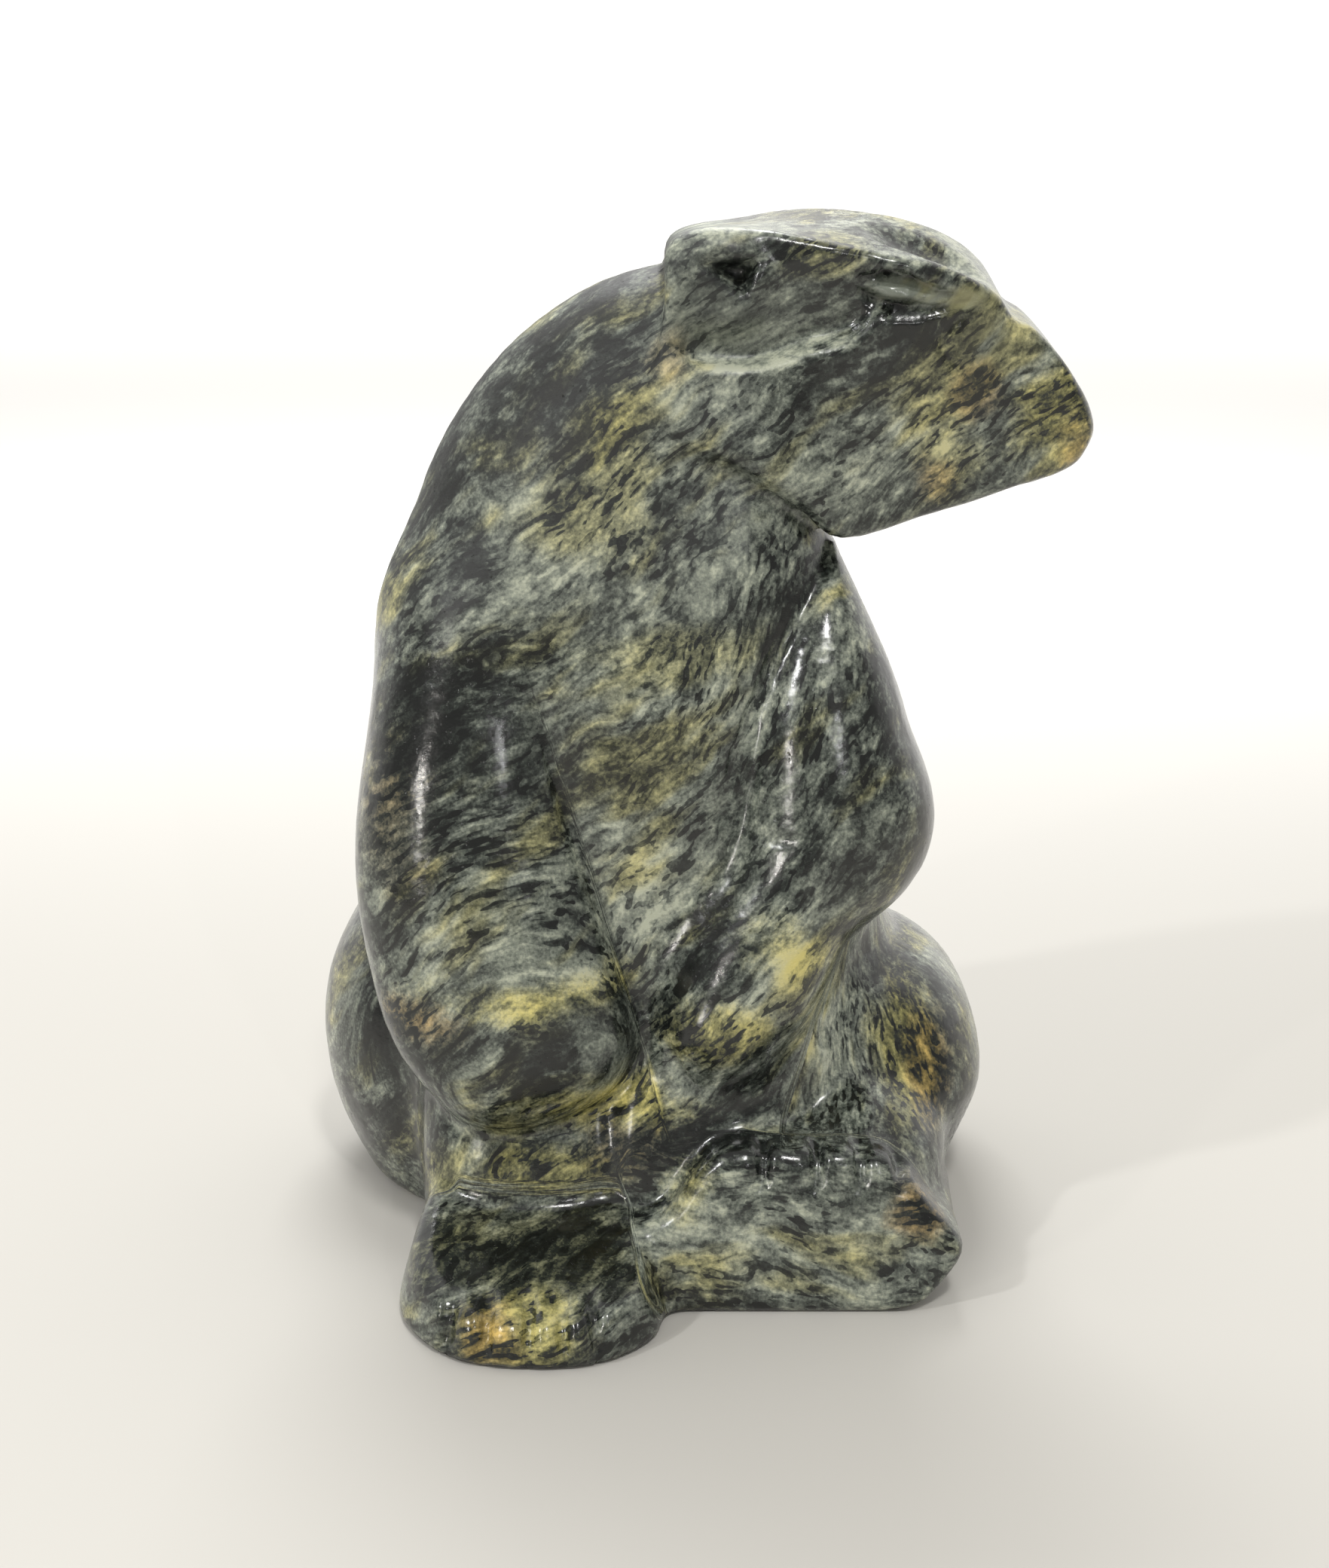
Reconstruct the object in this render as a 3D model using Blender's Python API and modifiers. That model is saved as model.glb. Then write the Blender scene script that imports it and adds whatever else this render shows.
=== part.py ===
"""A small seated bear carved from one block of soapstone, with its head turned to one side.

Positions are worked in millimetres and made in metres. X is to the right of someone who faces the belly,
Y goes away from them and Z is up, with the origin on the underside, in the middle of the carving's box.
"""

import bmesh
import bpy
import numpy as np
from mathutils import Matrix, Vector

MM = 0.001

# Driving sizes
TRIANGLES = 9400
STAGES = (2.4, 1.5, 0.9)
REACH = 8.0
LIMB_STEPS = 8
FLAT_WITHIN = 0.03
BASE_ROUND = 1.5
FINE_CREASE = 1.0
SHARP_ANGLE = 60.0
BOX_MIDDLE = (-0.36, -1.04, 0.0)
STONE_COLOUR = (0.105, 0.115, 0.105, 1.0)
STONE_ROUGHNESS = 0.32

# The head: its middle, and how far it rolls towards the viewer, at the brow and at the muzzle
HEAD_MIDDLE = (14.0, 0.0, 86.0)
HEAD_ROLL = 15.0
MUZZLE_ROLL = 7.0
ROLL_STARTS, ROLL_FULL = -13.0, 5.0
MUZZLE_STARTS, MUZZLE_FULL = 12.0, 18.0

# The head's outline in its own middle plane: ahead, up
HEAD_OUTLINE = (
    (-16.4, 8.0), (-16.2, 13.0), (-13.5, 14.7), (-9.0, 15.1), (-3.0, 15.3), (2.5, 14.9), (7.0, 14.1),
    (11.2, 12.6), (14.5, 10.2), (16.4, 7.4), (18.6, 6.1), (22.1, 2.2), (24.7, -2.2), (24.5, -5.3),
    (21.3, -8.0), (10.0, -10.2), (0.5, -12.0), (-4.0, -9.4), (-10.0, -7.0), (-14.5, -5.0), (-17.2, 0.5),
)

# Half the head's width at its lower and upper edge, from the back of the jaw to the nose
HEAD_ALONG = (-17.0, -6.0, 0.0, 10.0, 18.0, 25.0)
HEAD_WIDTH_LOW = (12.4, 12.7, 11.8, 9.2, 7.0, 5.2)
HEAD_WIDTH_HIGH = (10.2, 9.2, 8.2, 6.9, 5.6, 4.2)
HEAD_LOW, HEAD_HIGH = -10.0, 13.0

# The hollow temple: the lip it ends at below, its depth there, how wide the step down from the lip is
# and how far up it fades out
TEMPLE_LIP = (
    (-15.5, 3.6), (-13.5, 2.5), (-9.3, 2.5), (-7.1, 3.2), (-3.3, 5.2), (0.7, 6.7), (2.8, 8.6), (4.0, 9.4),
)
TEMPLE_DEPTH = 2.3
TEMPLE_WALL = 1.2
TEMPLE_FADE = 8.5

# The eye: its inner corner, its outer corner, its half height, how its facets slope in and how wide
# the cut round them is
EYE_BACK = (0.9, 11.9)
EYE_FRONT = (14.4, 9.6)
EYE_HALF_HEIGHT = 2.1
EYE_SLOPE = 1.2
EYE_RIM = 0.9

# The ear: how its lobe swells from the side of the head, the three corners of its hollow, how deep
# the hollow is and how far in from its edge that depth is reached
EAR_MIDDLE = (-11.8, 10.2)
EAR_RADII = (6.5, 6.0)
EAR_SWELL = 1.3
EAR_HOLLOW = ((-13.3, 11.8), (-7.4, 13.0), (-9.0, 8.8))
EAR_DEPTH = 2.5
EAR_WALL = 1.3

# How near a side of the head a point has to be to take the relief, how near the head at
# all, and how much weaker the relief is on the side turned away from the belly
SIDE_FROM, SIDE_FULL = -3.0, -1.0
HEAD_FULL, HEAD_ENDS = 0.3, 1.5
FAR_RELIEF = 0.45

# The crescent cut where the muzzle begins, and the hollow between the brows
MUZZLE_CRESCENT = ((10.9, 9.0), (9.3, 7.0), (10.7, 4.6))
FURROW_MIDDLE = (7.8, -1.0, 14.9)
FURROW_RADII = (8.0, 3.5, 2.3)
FURROW_SLOPE = 20.0
FURROW_TURN = -20.0

# Each limb's stations: the middle of its section, half its width, half its depth and how square it is
TRUNK = (
    (-2.0, 12.0, 8.0, 26.0, 23.0, 2.0), (-3.0, 10.0, 23.0, 25.0, 25.0, 2.0),
    (-4.0, 9.0, 36.0, 23.5, 24.2, 2.0), (-7.0, 6.0, 50.0, 22.0, 20.5, 2.0),
    (-9.5, 4.0, 63.0, 20.0, 17.5, 2.0), (-9.5, 2.5, 74.0, 16.2, 15.0, 2.0),
    (-4.4, 1.5, 83.5, 12.8, 12.3, 2.0), (4.0, 0.5, 88.0, 10.0, 11.0, 2.0),
)
CHEST = (
    (2.0, 2.0, 44.0, 13.0, 15.0, 2.0), (2.5, 1.0, 56.0, 12.6, 14.2, 2.0),
    (3.0, 0.5, 68.0, 11.4, 12.5, 2.0), (4.0, 0.5, 78.0, 8.6, 10.0, 2.0),
)
LEFT_ARM = (
    (-20.6, -1.0, 62.0, 10.0, 12.0, 2.0), (-20.9, -4.5, 50.0, 11.0, 12.5, 2.3),
    (-20.6, -7.0, 40.0, 12.1, 12.5, 2.5), (-18.2, -10.5, 29.5, 12.8, 10.8, 2.4),
    (-15.6, -12.6, 23.5, 11.2, 9.2, 2.3),
)
RIGHT_UPPER_ARM = (
    (13.7, 0.0, 70.0, 0.8, 5.0, 2.0), (12.9, -1.5, 62.0, 4.9, 9.5, 2.2),
    (12.8, -3.2, 52.0, 8.8, 12.6, 2.3), (13.4, -3.5, 43.7, 10.1, 13.5, 2.2),
)
RIGHT_FOREARM = (
    (13.4, -3.5, 43.7, 10.1, 13.5, 2.2), (8.7, -6.0, 36.0, 8.3, 13.0, 2.2),
    (5.0, -9.0, 29.0, 8.3, 11.5, 2.2), (2.4, -11.5, 24.5, 6.6, 9.6, 2.2),
)
LEFT_HIP = (
    (-18.0, 14.0, 22.0, 16.0, 17.0, 2.0), (-19.0, 12.0, 16.0, 20.7, 20.0, 2.0),
    (-16.3, 10.5, 5.0, 18.2, 18.0, 2.0),
)
RIGHT_HIP = (
    (12.0, 9.0, 25.4, 11.0, 13.0, 2.4), (12.0, 9.0, 23.6, 15.0, 17.0, 2.6),
    (12.0, 9.0, 19.5, 18.2, 19.5, 2.8), (12.0, 9.0, 13.0, 19.4, 21.0, 2.8),
    (12.0, 8.0, 6.0, 17.1, 20.0, 2.6), (12.0, 7.0, 0.0, 13.6, 17.5, 2.4),
)
HIP_CAP = 3.0
THIGH_FACE = (25.2, -8.0, 19.5)
THIGH_FACE_NORMAL = (0.30, -0.85, 0.42)
SHIN_MIDDLE = (17.0, -9.0, 8.8)
SHIN_RADII = (8.9, 13.0, 9.4)
FOLD_MIDDLE = (9.6, -8.0, 19.0)
FOLD_RADII = (5.0, 6.5, 7.0)
LEFT_LEG = (
    (-15.4, -8.0, 1.0, 11.2, 12.0, 2.6), (-15.4, -7.0, 9.0, 11.8, 13.2, 2.6),
    (-16.0, -3.0, 18.0, 11.6, 11.0, 2.4),
)
LAP = (
    (2.6, -12.0, 0.0, 9.4, 11.0, 2.8), (2.4, -11.0, 8.0, 9.2, 9.5, 2.8),
    (1.4, -10.2, 16.0, 8.4, 8.5, 2.6),
)

# The stone left between the legs
WEB_MIDDLE = (-5.0, -11.5, 8.0)
WEB_RADII = (4.8, 8.6, 14.5)

# The flat foot: its outline on the ground, how its sides draw in above that, the top edge of its toes
# and how its top slopes
LEFT_FOOT_PLAN = (
    (-23.0, -3.0), (-26.6, -12.0), (-28.4, -20.0), (-27.6, -28.3), (-22.8, -35.0), (-16.0, -37.2),
    (-9.0, -36.6), (-4.4, -33.4), (-2.4, -29.6), (-2.6, -24.0), (-4.2, -18.0), (-4.0, -8.0),
)
LEFT_FOOT_MIDDLE = -15.4
LEFT_FOOT_TAPER = 0.026
LEFT_FOOT_FRONT = (-15.0, -35.5, 4.8)
LEFT_FOOT_TOP_NORMAL = (0.0, -3.8, 15.5)
LEFT_TOE_GAPS = (-22.8, -19.0, -14.8, -11.4, -8.2)

# The foot on its side: the sole's outline across and up, its lean, and the gaps between its toes
SOLE_OUTLINE = (
    (-8.0, -3.0), (-8.0, 6.4), (-2.6, 9.0), (1.0, 13.5), (4.0, 15.6), (10.6, 15.6), (17.4, 15.2),
    (20.2, 13.6), (23.5, 9.8), (26.4, 6.2), (24.6, 2.8), (20.4, -1.0), (16.0, -3.0),
)
SOLE_POINT = (10.0, -26.5, 0.0)
SOLE_NORMAL = (0.0, -1.0, 0.2)
SOLE_TOE_GAPS = (7.0, 12.2, 16.4, 20.2)
TOE_GAP_WIDTH = 0.8
TOE_GAP_DEPTH = 0.6

# Where rough stone is left for the head and the feet
ROUGH_HEAD = (
    (2.0, 0.0, 88.0, 11.0, 11.0), (14.0, 0.0, 87.0, 11.0, 9.0), (26.0, 0.0, 86.0, 8.0, 7.0),
    (32.0, 0.0, 83.0, 6.0, 5.0),
)
ROUGH_LEFT_FOOT = (
    (-17.0, -18.0, 2.0, 11.0, 9.0), (-19.0, -26.0, 2.0, 8.0, 8.0), (-11.0, -28.0, 2.0, 8.0, 8.0),
)
ROUGH_RIGHT_FOOT = (
    (-2.0, -18.0, 3.0, 7.0, 9.0), (8.0, -17.0, 7.0, 8.0, 9.0), (18.0, -16.0, 7.0, 8.0, 9.0),
)


def length(v):
    return np.sqrt((v * v).sum(axis=-1))


def mix(a, b, t):
    return a + (b - a) * t


def ramp(x, low, high):
    """0 below low, 1 above high, smooth between."""
    t = np.clip((x - low) / (high - low), 0.0, 1.0)
    return t * t * (3.0 - 2.0 * t)


def join(a, b, round_off):
    """The union of two shapes, with the corner between them filled by a fillet of this size."""
    near = np.maximum(round_off - np.abs(a - b), 0.0) / round_off
    return np.minimum(a, b) - near * near * round_off * 0.25


def keep(a, b, round_off):
    """What two shapes share, with the edge between them rounded."""
    return -join(-a, -b, round_off)


def cut(a, tool, round_off):
    """A shape with a tool's shape taken out of it."""
    return -join(-a, tool, round_off)


def oval(p, middle, radii, turn=(0.0, 0.0, 0.0)):
    """Distance to an ellipsoid, turned about X, Y and Z in degrees."""
    q = p - np.array(middle)
    if any(turn):
        q = q @ turned(turn)
    radii = np.array(radii)
    k0 = length(q / radii)
    k1 = length(q / (radii * radii))
    return k0 * (k0 - 1.0) / np.maximum(k1, 1e-6)


def turned(turn):
    """The matrix whose columns are a turned shape's own axes."""
    rx, ry, rz = np.radians(turn)
    x = np.array([[1, 0, 0], [0, np.cos(rx), -np.sin(rx)], [0, np.sin(rx), np.cos(rx)]])
    y = np.array([[np.cos(ry), 0, np.sin(ry)], [0, 1, 0], [-np.sin(ry), 0, np.cos(ry)]])
    z = np.array([[np.cos(rz), -np.sin(rz), 0], [np.sin(rz), np.cos(rz), 0], [0, 0, 1]])
    return z @ y @ x


def plane(p, point, normal):
    """Distance above a plane, along its normal."""
    normal = np.array(normal, float)
    return (p - np.array(point)) @ (normal / np.linalg.norm(normal))


def smooth_path(stations, steps):
    """Stations joined by a smooth line, with every value of a station carried along it."""
    rows = np.array(stations, float)
    before = np.vstack([2 * rows[0] - rows[1], rows[:-2]])
    after = np.vstack([rows[2:], 2 * rows[-1] - rows[-2]])
    path = []
    for a, b, c, d in zip(before, rows[:-1], rows[1:], after):
        for step in range(steps):
            t = step / steps
            path.append(b + 0.5 * t * (c - a + t * (2 * a - 5 * b + 4 * c - d + t * (3 * (b - c) + d - a))))
    path.append(rows[-1])
    return np.array(path)


def limb(p, stations, cap=0.0):
    """Distance to a limb: an oval or fuller section carried along its stations."""
    path = smooth_path(stations, LIMB_STEPS)
    reach_out = path[:, 3:5].max() + REACH
    low, high = path[:, :3].min(axis=0) - reach_out, path[:, :3].max(axis=0) + reach_out
    near = ((p > low) & (p < high)).all(axis=1)
    distance = np.full(len(p), REACH)
    p = p[near]
    best = np.full(len(p), np.inf)
    for start, end in zip(path[:-1], path[1:]):
        run = end[:3] - start[:3]
        reach = np.linalg.norm(run)
        along = run / reach
        depth = np.array([0.0, 1.0, 0.0]) - along * along[1]
        depth /= np.linalg.norm(depth)
        side = np.cross(along, depth)
        offset = p - start[:3]
        t = np.clip(offset @ along / reach, 0.0, 1.0)
        size = start[3:] + (end - start)[3:] * t[:, None]
        offset = offset - run * t[:, None]
        s, d, a = offset @ side, offset @ depth, offset @ along
        wide, deep, square = size[:, 0], size[:, 1], size[:, 2]
        end_cap = cap or np.minimum(wide, deep)
        s, d, a = np.abs(s / wide), np.abs(d / deep), np.abs(a / end_cap)
        k0 = (s**square + d**square + a**square) ** (1.0 / square)
        k1 = np.sqrt((s / wide) ** 2 + (d / deep) ** 2 + (a / end_cap) ** 2)
        best = np.minimum(best, k0 * (k0 - 1.0) / np.maximum(k1, 1e-6))
    distance[near] = best
    return distance


def outline(x, y, corners):
    """Distance to a flat outline, negative inside."""
    corners = np.array(corners, float)
    best = np.full(len(x), np.inf)
    inside = np.zeros(len(x), bool)
    for (ax, ay), (bx, by) in zip(corners, np.roll(corners, -1, axis=0)):
        ex, ey = bx - ax, by - ay
        t = np.clip(((x - ax) * ex + (y - ay) * ey) / (ex * ex + ey * ey), 0.0, 1.0)
        best = np.minimum(best, np.hypot(x - ax - t * ex, y - ay - t * ey))
        if ey:
            inside ^= ((ay > y) != (by > y)) & (x < ex * (y - ay) / ey + ax)
    return np.where(inside, -best, best)


def along_line(x, y, start, end):
    """How far points lie along a line, from 0 to 1, and how far beside it."""
    start, end = np.array(start), np.array(end)
    run = end - start
    reach = np.linalg.norm(run)
    dx, dy = x - start[0], y - start[1]
    return (dx * run[0] + dy * run[1]) / reach**2, (dx * run[1] - dy * run[0]) / reach


def temple(ahead, up):
    """The temple is hollowed down to a crisp lip above the cheek."""
    lip = np.interp(ahead, *np.transpose(TEMPLE_LIP))
    above = up - lip
    length_fade = ramp(ahead, -17.0, -13.0) * (1.0 - ramp(ahead, 0.5, 5.0))
    fade = length_fade * np.clip(1.0 - above / TEMPLE_FADE, 0.0, 1.0)
    return TEMPLE_DEPTH * fade * ramp(above, -0.2, TEMPLE_WALL)


def eye(ahead, up):
    """A long leaf-shaped eye of two facets that slope in from a ridge along its middle."""
    t, beside = along_line(ahead, up, EYE_BACK, EYE_FRONT)
    half = EYE_HALF_HEIGHT * np.sqrt(np.clip(t / 0.22, 0.0, 1.0)) * np.clip((1.0 - t) / 0.7, 0.0, 1.0)
    beside = np.abs(beside)
    return EYE_SLOPE * beside * ramp(half - beside, 0.0, EYE_RIM)


def ear(ahead, up):
    """A low swelling with a three-cornered hollow, deepest towards its lower corner."""
    out = np.hypot((ahead - EAR_MIDDLE[0]) / EAR_RADII[0], (up - EAR_MIDDLE[1]) / EAR_RADII[1])
    swell = ramp(1.0 - out, 0.0, 0.5)
    deep = -outline(ahead, up, EAR_HOLLOW)
    return EAR_SWELL * swell - EAR_DEPTH * ramp(deep, -0.2, EAR_WALL)


def crescent(ahead, up):
    """A short curved cut behind the muzzle."""
    near = np.full(len(ahead), np.inf)
    path = smooth_path(MUZZLE_CRESCENT, 4)
    for start, end in zip(path[:-1], path[1:]):
        t, _ = along_line(ahead, up, start, end)
        t = np.clip(t, 0.0, 1.0)
        near = np.minimum(near, np.hypot(ahead - mix(start[0], end[0], t), up - mix(start[1], end[1], t)))
    return 0.5 * (1.0 - ramp(near, 0.0, 0.9))


def head_frame(p):
    """Places in the head's own frame: ahead, aside and up, its roll there and half its width."""
    ahead, y, z = (p - np.array(HEAD_MIDDLE)).T
    turn = mix(HEAD_ROLL, MUZZLE_ROLL, ramp(ahead, MUZZLE_STARTS, MUZZLE_FULL))
    roll = np.radians(turn * ramp(ahead, ROLL_STARTS, ROLL_FULL))
    aside = y * np.cos(roll) + z * np.sin(roll)
    up = z * np.cos(roll) - y * np.sin(roll)
    low = np.interp(ahead, HEAD_ALONG, HEAD_WIDTH_LOW)
    high = np.interp(ahead, HEAD_ALONG, HEAD_WIDTH_HIGH)
    wide = mix(low, high, np.clip((up - HEAD_LOW) / (HEAD_HIGH - HEAD_LOW), -0.1, 1.2))
    return ahead, aside, up, roll, wide


def head(p):
    """The long wedge of the head, hollowed between its brows."""
    ahead, aside, up, _, wide = head_frame(p)
    profile = outline(ahead, up, smooth_outline(HEAD_OUTLINE))
    skull = keep(profile, np.abs(aside) - wide, mix(2.2, 1.0, ramp(up, -4.0, 4.0)))
    forehead = np.column_stack([ahead, aside, up])
    return cut(skull, oval(forehead, FURROW_MIDDLE, FURROW_RADII, (0.0, FURROW_SLOPE, FURROW_TURN)), 0.8)


def relieved(p):
    """Points on the sides of the head, pushed in or out by the ear, temple, eye and muzzle."""
    ahead, aside, up, roll, wide = head_frame(p)
    depth = temple(ahead, up) + eye(ahead, up) + crescent(ahead, up) - ear(ahead, up)
    own = ramp(np.abs(aside) - wide, SIDE_FROM, SIDE_FULL) * (1.0 - ramp(head(p), HEAD_FULL, HEAD_ENDS))
    own = own * np.where(aside > 0.0, FAR_RELIEF, 1.0)
    inward = np.column_stack([np.zeros(len(p)), np.cos(roll), np.sin(roll)]) * -np.sign(aside)[:, None]
    return p + inward * (depth * own)[:, None]


def smooth_outline(corners, steps=4):
    """A closed outline with smooth curves through its corners."""
    rows = np.array(corners, float)
    path = []
    for a, b, c, d in zip(np.roll(rows, 1, 0), rows, np.roll(rows, -1, 0), np.roll(rows, -2, 0)):
        for step in range(steps):
            t = step / steps
            path.append(b + 0.5 * t * (c - a + t * (2 * a - 5 * b + 4 * c - d + t * (3 * (b - c) + d - a))))
    return np.array(path)


def right_arm(p):
    """The arm whose elbow stands out and whose forearm comes back in to the lap."""
    return join(limb(p, RIGHT_UPPER_ARM), limb(p, RIGHT_FOREARM), 3.0)


def right_hip(p):
    """The haunch beside the bent arm, with a broad face cut on its front."""
    haunch = keep(limb(p, RIGHT_HIP, HIP_CAP), plane(p, THIGH_FACE, THIGH_FACE_NORMAL), 1.0)
    haunch = join(haunch, oval(p, FOLD_MIDDLE, FOLD_RADII), 3.0)
    return join(haunch, oval(p, SHIN_MIDDLE, SHIN_RADII), 2.0)


def toe_gaps(x, gaps):
    """How deep the cuts between toes go, across a foot."""
    return TOE_GAP_DEPTH * sum(np.exp(-(((x - gap) / TOE_GAP_WIDTH) ** 2)) for gap in gaps)


def left_foot(p):
    """The foot that stands flat and points at the viewer."""
    x, y, z = p.T
    x = LEFT_FOOT_MIDDLE + (x - LEFT_FOOT_MIDDLE) * (1.0 + LEFT_FOOT_TAPER * z)
    plan = outline(x, y, smooth_outline(LEFT_FOOT_PLAN))
    top = plane(p, LEFT_FOOT_FRONT, LEFT_FOOT_TOP_NORMAL)
    return keep(plan, top, 2.0) + toe_gaps(x, LEFT_TOE_GAPS) * ramp(-y, 31.0, 34.5) * ramp(z, 0.4, 2.0)


def right_foot(p):
    """The foot that lies on its side and shows its sole."""
    x, y, z = p.T
    plan = outline(x, z, smooth_outline(SOLE_OUTLINE))
    sole = plane(p, SOLE_POINT, SOLE_NORMAL)
    foot = keep(keep(plan, sole, 2.0), y - 4.0, 2.0)
    return foot + toe_gaps(x, SOLE_TOE_GAPS) * ramp(z, 11.0, 13.5) * ramp(-y, 19.0, 21.0)


def carving(p):
    """Signed distance to the whole carving, in millimetres, negative in the stone."""
    x, y, z = p.T
    shape = join(limb(p, TRUNK), limb(p, CHEST), 4.0)
    shape = join(shape, limb(p, LEFT_HIP), 5.0)
    shape = join(shape, right_hip(p), 2.0)
    shape = join(shape, limb(p, LEFT_LEG), 3.0)
    shape = join(shape, limb(p, LAP), mix(0.8, 3.0, ramp(x, 0.0, 6.0)))
    shape = join(shape, oval(p, WEB_MIDDLE, WEB_RADII), 2.0)
    shape = join(shape, left_foot(p), 1.0)
    shape = join(shape, right_foot(p), mix(3.0, 1.2, ramp(z, 2.0, 9.0)))
    shape = join(shape, limb(p, LEFT_ARM), mix(0.8, 5.0, ramp(z, 46.0, 62.0)))
    shape = join(shape, right_arm(p), mix(3.0, 0.8, ramp(z, 36.0, 48.0)))
    flush = (1.0 - ramp(x, -4.0, 1.5)) * (1.0 - ramp(z, 87.0, 91.0))
    shape = join(shape, head(p), mix(FINE_CREASE, 2.5, flush))
    return keep(shape, -z, BASE_ROUND)


def slopes(p, shape, step=0.02):
    """The distance at each point, and how it changes along X, Y and Z."""
    here = shape(p)
    change = np.empty_like(p)
    for axis in range(3):
        moved = p.copy()
        moved[:, axis] += step
        change[:, axis] = (shape(moved) - here) / step
    return here, change


def to_surface(p, shape, rounds=4, most=1.5):
    """Points moved onto the surface where the distance is nil."""
    for _ in range(rounds):
        here, change = slopes(p, shape)
        size = np.maximum((change * change).sum(axis=1), 0.05)
        move = change * (here / size)[:, None]
        far = np.maximum(length(move) / most, 1.0)
        p = p - move / far[:, None]
    return p


def remove_all_objects():
    for thing in list(bpy.data.objects):
        bpy.data.objects.remove(thing, do_unlink=True)


def collection(name):
    made = bpy.data.collections.new(name)
    bpy.context.scene.collection.children.link(made)
    return made


def add_spheres(mesh, stations):
    """Spheres as wide as a limb, along its stations."""
    for x, y, z, wide, deep in smooth_path(stations, 3)[:, :5]:
        place = Matrix.Translation(Vector((x, y, z)) * MM) @ Matrix.Diagonal((wide, deep, wide, 1.0))
        bmesh.ops.create_icosphere(mesh, subdivisions=2, radius=0.92 * MM, matrix=place)


def rough_stone():
    """Balls of stone about where each limb will be, as one object."""
    mesh = bmesh.new()
    limbs = (TRUNK, CHEST, LEFT_ARM, RIGHT_UPPER_ARM, RIGHT_FOREARM, LEFT_HIP, RIGHT_HIP, LEFT_LEG, LAP)
    for stations in limbs + (ROUGH_HEAD, ROUGH_LEFT_FOOT, ROUGH_RIGHT_FOOT):
        add_spheres(mesh, stations)
    data = bpy.data.meshes.new("rough_stone")
    mesh.to_mesh(data)
    mesh.free()
    stone = bpy.data.objects.new("rough_stone", data)
    bpy.context.scene.collection.objects.link(stone)
    return stone


def applied(thing, kind, **settings):
    """A modifier added to an object, and its result kept as the object's mesh."""
    modifier = thing.modifiers.new(kind.lower(), kind)
    for name, value in settings.items():
        setattr(modifier, name, value)
    bpy.context.view_layer.update()
    held = thing.evaluated_get(bpy.context.evaluated_depsgraph_get())
    data = bpy.data.meshes.new_from_object(held)
    thing.modifiers.clear()
    old = thing.data
    thing.data = data
    bpy.data.meshes.remove(old)


def points_of(data):
    flat = np.empty(len(data.vertices) * 3, np.float32)
    data.vertices.foreach_get("co", flat)
    return flat.reshape(-1, 3).astype(float) / MM


def put_points(data, p):
    data.vertices.foreach_set("co", (p * MM).astype(np.float32).ravel())
    data.update()


def carve(thing, stages):
    """Remeshed to even quads and drawn in onto the carved surface, finer each time, the relief last."""
    for grid in stages:
        applied(thing, "REMESH", mode="VOXEL", voxel_size=grid * MM)
        put_points(thing.data, to_surface(points_of(thing.data), carving))
    put_points(thing.data, relieved(points_of(thing.data)))


def stone_material():
    stone = bpy.data.materials.new("stone")
    stone.use_nodes = True
    shader = stone.node_tree.nodes["Principled BSDF"]
    shader.inputs["Base Color"].default_value = STONE_COLOUR
    shader.inputs["Roughness"].default_value = STONE_ROUGHNESS
    shader.inputs["Metallic"].default_value = 0.0
    return stone


remove_all_objects()
bear = rough_stone()
carve(bear, STAGES)
applied(bear, "DECIMATE", ratio=TRIANGLES / (2 * len(bear.data.polygons)), use_collapse_triangulate=True)

points = points_of(bear.data)
points[np.abs(points[:, 2]) < FLAT_WITHIN, 2] = 0.0
put_points(bear.data, points - np.array(BOX_MIDDLE))

bear.name = "bear_carving"
bear.data.name = "bear_carving"
bear.data.materials.append(stone_material())
bear.data.shade_smooth()
bear.data.set_sharp_from_angle(angle=np.radians(SHARP_ANGLE))
bpy.context.scene.collection.objects.unlink(bear)
collection("bear_carving").objects.link(bear)
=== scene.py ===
"""The looks of a small seated bear carved from dark green-grey soapstone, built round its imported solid."""

import bmesh
import bpy
import numpy as np
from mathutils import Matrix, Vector
from mathutils.noise import noise as hill


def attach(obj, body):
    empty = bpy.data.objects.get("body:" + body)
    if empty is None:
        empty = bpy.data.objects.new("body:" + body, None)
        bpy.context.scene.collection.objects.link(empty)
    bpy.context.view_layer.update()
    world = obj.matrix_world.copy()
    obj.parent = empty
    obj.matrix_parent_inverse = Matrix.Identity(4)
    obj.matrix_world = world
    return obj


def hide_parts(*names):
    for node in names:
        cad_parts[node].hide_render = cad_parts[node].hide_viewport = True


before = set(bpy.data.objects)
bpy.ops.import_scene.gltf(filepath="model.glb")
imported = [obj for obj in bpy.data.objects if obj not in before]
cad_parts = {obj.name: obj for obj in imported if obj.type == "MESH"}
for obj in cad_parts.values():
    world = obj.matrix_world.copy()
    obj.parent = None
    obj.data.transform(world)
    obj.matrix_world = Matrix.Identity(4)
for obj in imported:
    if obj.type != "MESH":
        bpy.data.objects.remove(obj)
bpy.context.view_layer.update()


# The floor, the light and the camera: a plain pale tabletop with painted light, lighter and glowing towards
# the back, in a room that is bright behind and above. Four small lamps stand in front and a panel hangs above
# and behind.

class Value:
    """A socket of a shader, so that a sum on values can be written as one and becomes its Math nodes."""

    def __init__(self, socket):
        self.socket = socket

    def math(self, operation, *others):
        return add_node("ShaderNodeMath", {"operation": operation}, dict(enumerate((self,) + others)))

    def __add__(self, other):
        return self.math("ADD", other)

    def __sub__(self, other):
        return self.math("SUBTRACT", other)

    def __rsub__(self, other):
        return add_node("ShaderNodeMath", {"operation": "SUBTRACT"}, {0: other, 1: self})

    def __mul__(self, other):
        return self.math("MULTIPLY", other)

    def __truediv__(self, other):
        return self.math("DIVIDE", other)

    __radd__ = __add__
    __rmul__ = __mul__


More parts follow.
